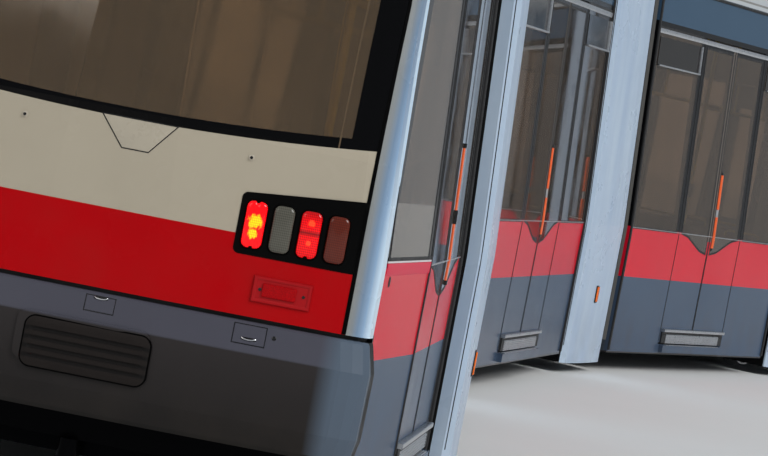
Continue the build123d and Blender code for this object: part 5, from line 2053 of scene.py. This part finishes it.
def mixed_into(tree, share, first, second, sink):
    """Mixes two shaders of a tree by a share and gives the result to a socket."""
    mixed = tree.nodes.new("ShaderNodeMixShader")
    for source, socket in ((share, mixed.inputs[0]), (first, mixed.inputs[1]),
                           (second, mixed.inputs[2]), (mixed.outputs[0], sink)):
        tree.links.new(source, socket)


class TRAM_OT_stage(bpy.types.Operator):
    """Pale floor, soft lamps, white background and the camera"""
    bl_idname = "tram.stage"
    bl_label = "Studio"

    def execute(self, context):
        scene = context.scene
        for obj in list(scene.objects):
            if obj.type in {"CAMERA", "LIGHT"} or obj.name == "Cube":
                bpy.data.objects.remove(obj)
        studio = scene.tram_studio
        self.floor()
        self.world(studio.world)
        soft = math.radians(28.0)
        turned_lamp("key_lamp", "SUN", (10.0, 16.0, -15.0), studio.key, angle=soft)
        end_lamp = turned_lamp("end_lamp", "AREA", (14.0, -5.0, -7.8), studio.fill, size=7.0,
                               color=(1.0, 0.94, 0.86))
        end_lamp.location = (-26.0, 4.0, 9.0)
        turned_lamp("left_lamp", "SUN", (-4.0, -18.0, -14.0), studio.key * 0.45, angle=soft)
        self.camera(studio.lens)
        scene.view_settings.view_transform = "Standard"
        return {"FINISHED"}

    def floor(self):
        """Pale floor whose far parts fade into the white of the background."""
        made = Finish("studio_floor", Roughness=0.8)
        made.put(Base_Color=made.mottle(tone(226, 226, 224), 0.015, 0.6))
        x, y, _ = made.split(made.object_vector)
        camera_ray = made.node("LightPath").outputs["Is Camera Ray"]
        seen = made.span(made.reach(x, y), 26.0, 60.0) * camera_ray
        white = made.node("Emission")
        mixed_into(made.tree, seen.socket, made.shader.outputs[0], white.outputs[0],
                   made.tree.nodes["Material Output"].inputs["Surface"])
        piece = Piece("studio_floor", Matrix.Identity(4), made.material)
        piece.plate(Matrix.Identity(4), circle(160.0, 64), [(0.0, -0.06), (0.0, -0.001)])
        piece.done()

    def world(self, strength):
        """Soft light from all round, in front of a white background."""
        world = bpy.data.worlds.new("studio")
        bpy.context.scene.world = world
        world.use_nodes = True
        tree = world.node_tree
        soft, white = tree.nodes["Background"], tree.nodes.new("ShaderNodeBackground")
        for node, shade, power in ((soft, (0.86, 0.93, 1.0, 1.0), strength),
                                   (white, (1.0, 1.0, 1.0, 1.0), 1.0)):
            node.inputs["Color"].default_value = shade
            node.inputs["Strength"].default_value = power
        path = tree.nodes.new("ShaderNodeLightPath")
        seen = tree.nodes.new("ShaderNodeMath")
        seen.operation = "MAXIMUM"
        tree.links.new(path.outputs["Is Camera Ray"], seen.inputs[0])
        tree.links.new(path.outputs["Is Transmission Ray"], seen.inputs[1])
        mixed_into(tree, seen.outputs[0], soft.outputs[0], white.outputs[0],
                   tree.nodes["World Output"].inputs["Surface"])

    def camera(self, lens_mm):
        """Camera at the photograph's place, turned by heading, pitch and roll."""
        data = bpy.data.cameras.new("camera")
        data.lens = lens_mm
        data.sensor_width = 36.0
        data.clip_end = 500.0
        camera = in_scene("camera", data)
        h, p, r = (math.radians(v) for v in (CAMERA_HEADING, CAMERA_PITCH, CAMERA_ROLL))
        ahead = Vector((math.cos(p) * math.cos(h), math.cos(p) * math.sin(h), math.sin(p)))
        right = Vector((math.sin(h), -math.cos(h), 0.0))
        up = right.cross(ahead)
        across = math.cos(r) * right + math.sin(r) * up
        upward = math.cos(r) * up - math.sin(r) * right
        camera.matrix_world = Matrix.Translation(CAMERA_AT) @ Matrix(
            (across, upward, -ahead)).transposed().to_4x4()
        bpy.context.scene.camera = camera


class TRAM_PT_sidebar(bpy.types.Panel):
    """Lists the groups of pieces"""
    bl_idname = "TRAM_PT_sidebar"
    bl_label = "Tram"
    bl_space_type = "VIEW_3D"
    bl_region_type = "UI"
    bl_category = "Tram"

    def draw(self, context):
        for operator in OPERATORS:
            self.layout.operator(operator.bl_idname)
        for group in ("tram_livery", "tram_trim", "tram_studio"):
            box = self.layout.box()
            settings = getattr(context.scene, group)
            for name in settings.__annotations__:
                box.prop(settings, name)


GROUPS = {"tram_livery": TramLivery, "tram_trim": TramTrim, "tram_studio": TramStudio}
OPERATORS = (
    TRAM_OT_paint,
    TRAM_OT_lenses,
    TRAM_OT_end_trim,
    TRAM_OT_seals,
    TRAM_OT_doors,
    TRAM_OT_side_trim,
    TRAM_OT_portals,
    TRAM_OT_bellows,
    TRAM_OT_roof,
    TRAM_OT_pantograph,
    TRAM_OT_interior,
    TRAM_OT_cab,
    TRAM_OT_wheels,
    TRAM_OT_stage,
)


def register():
    for made in (*GROUPS.values(), *OPERATORS, TRAM_PT_sidebar):
        bpy.utils.register_class(made)
    for name, group in GROUPS.items():
        setattr(bpy.types.Scene, name, PointerProperty(type=group))


def unregister():
    for name in GROUPS:
        delattr(bpy.types.Scene, name)
    for made in reversed((*GROUPS.values(), *OPERATORS, TRAM_PT_sidebar)):
        bpy.utils.unregister_class(made)


def main():
    register()
    cover_finishes()
    for operator in OPERATORS:
        group, name = operator.bl_idname.split(".")
        getattr(getattr(bpy.ops, group), name)()


if __name__ == "__main__":
    main()
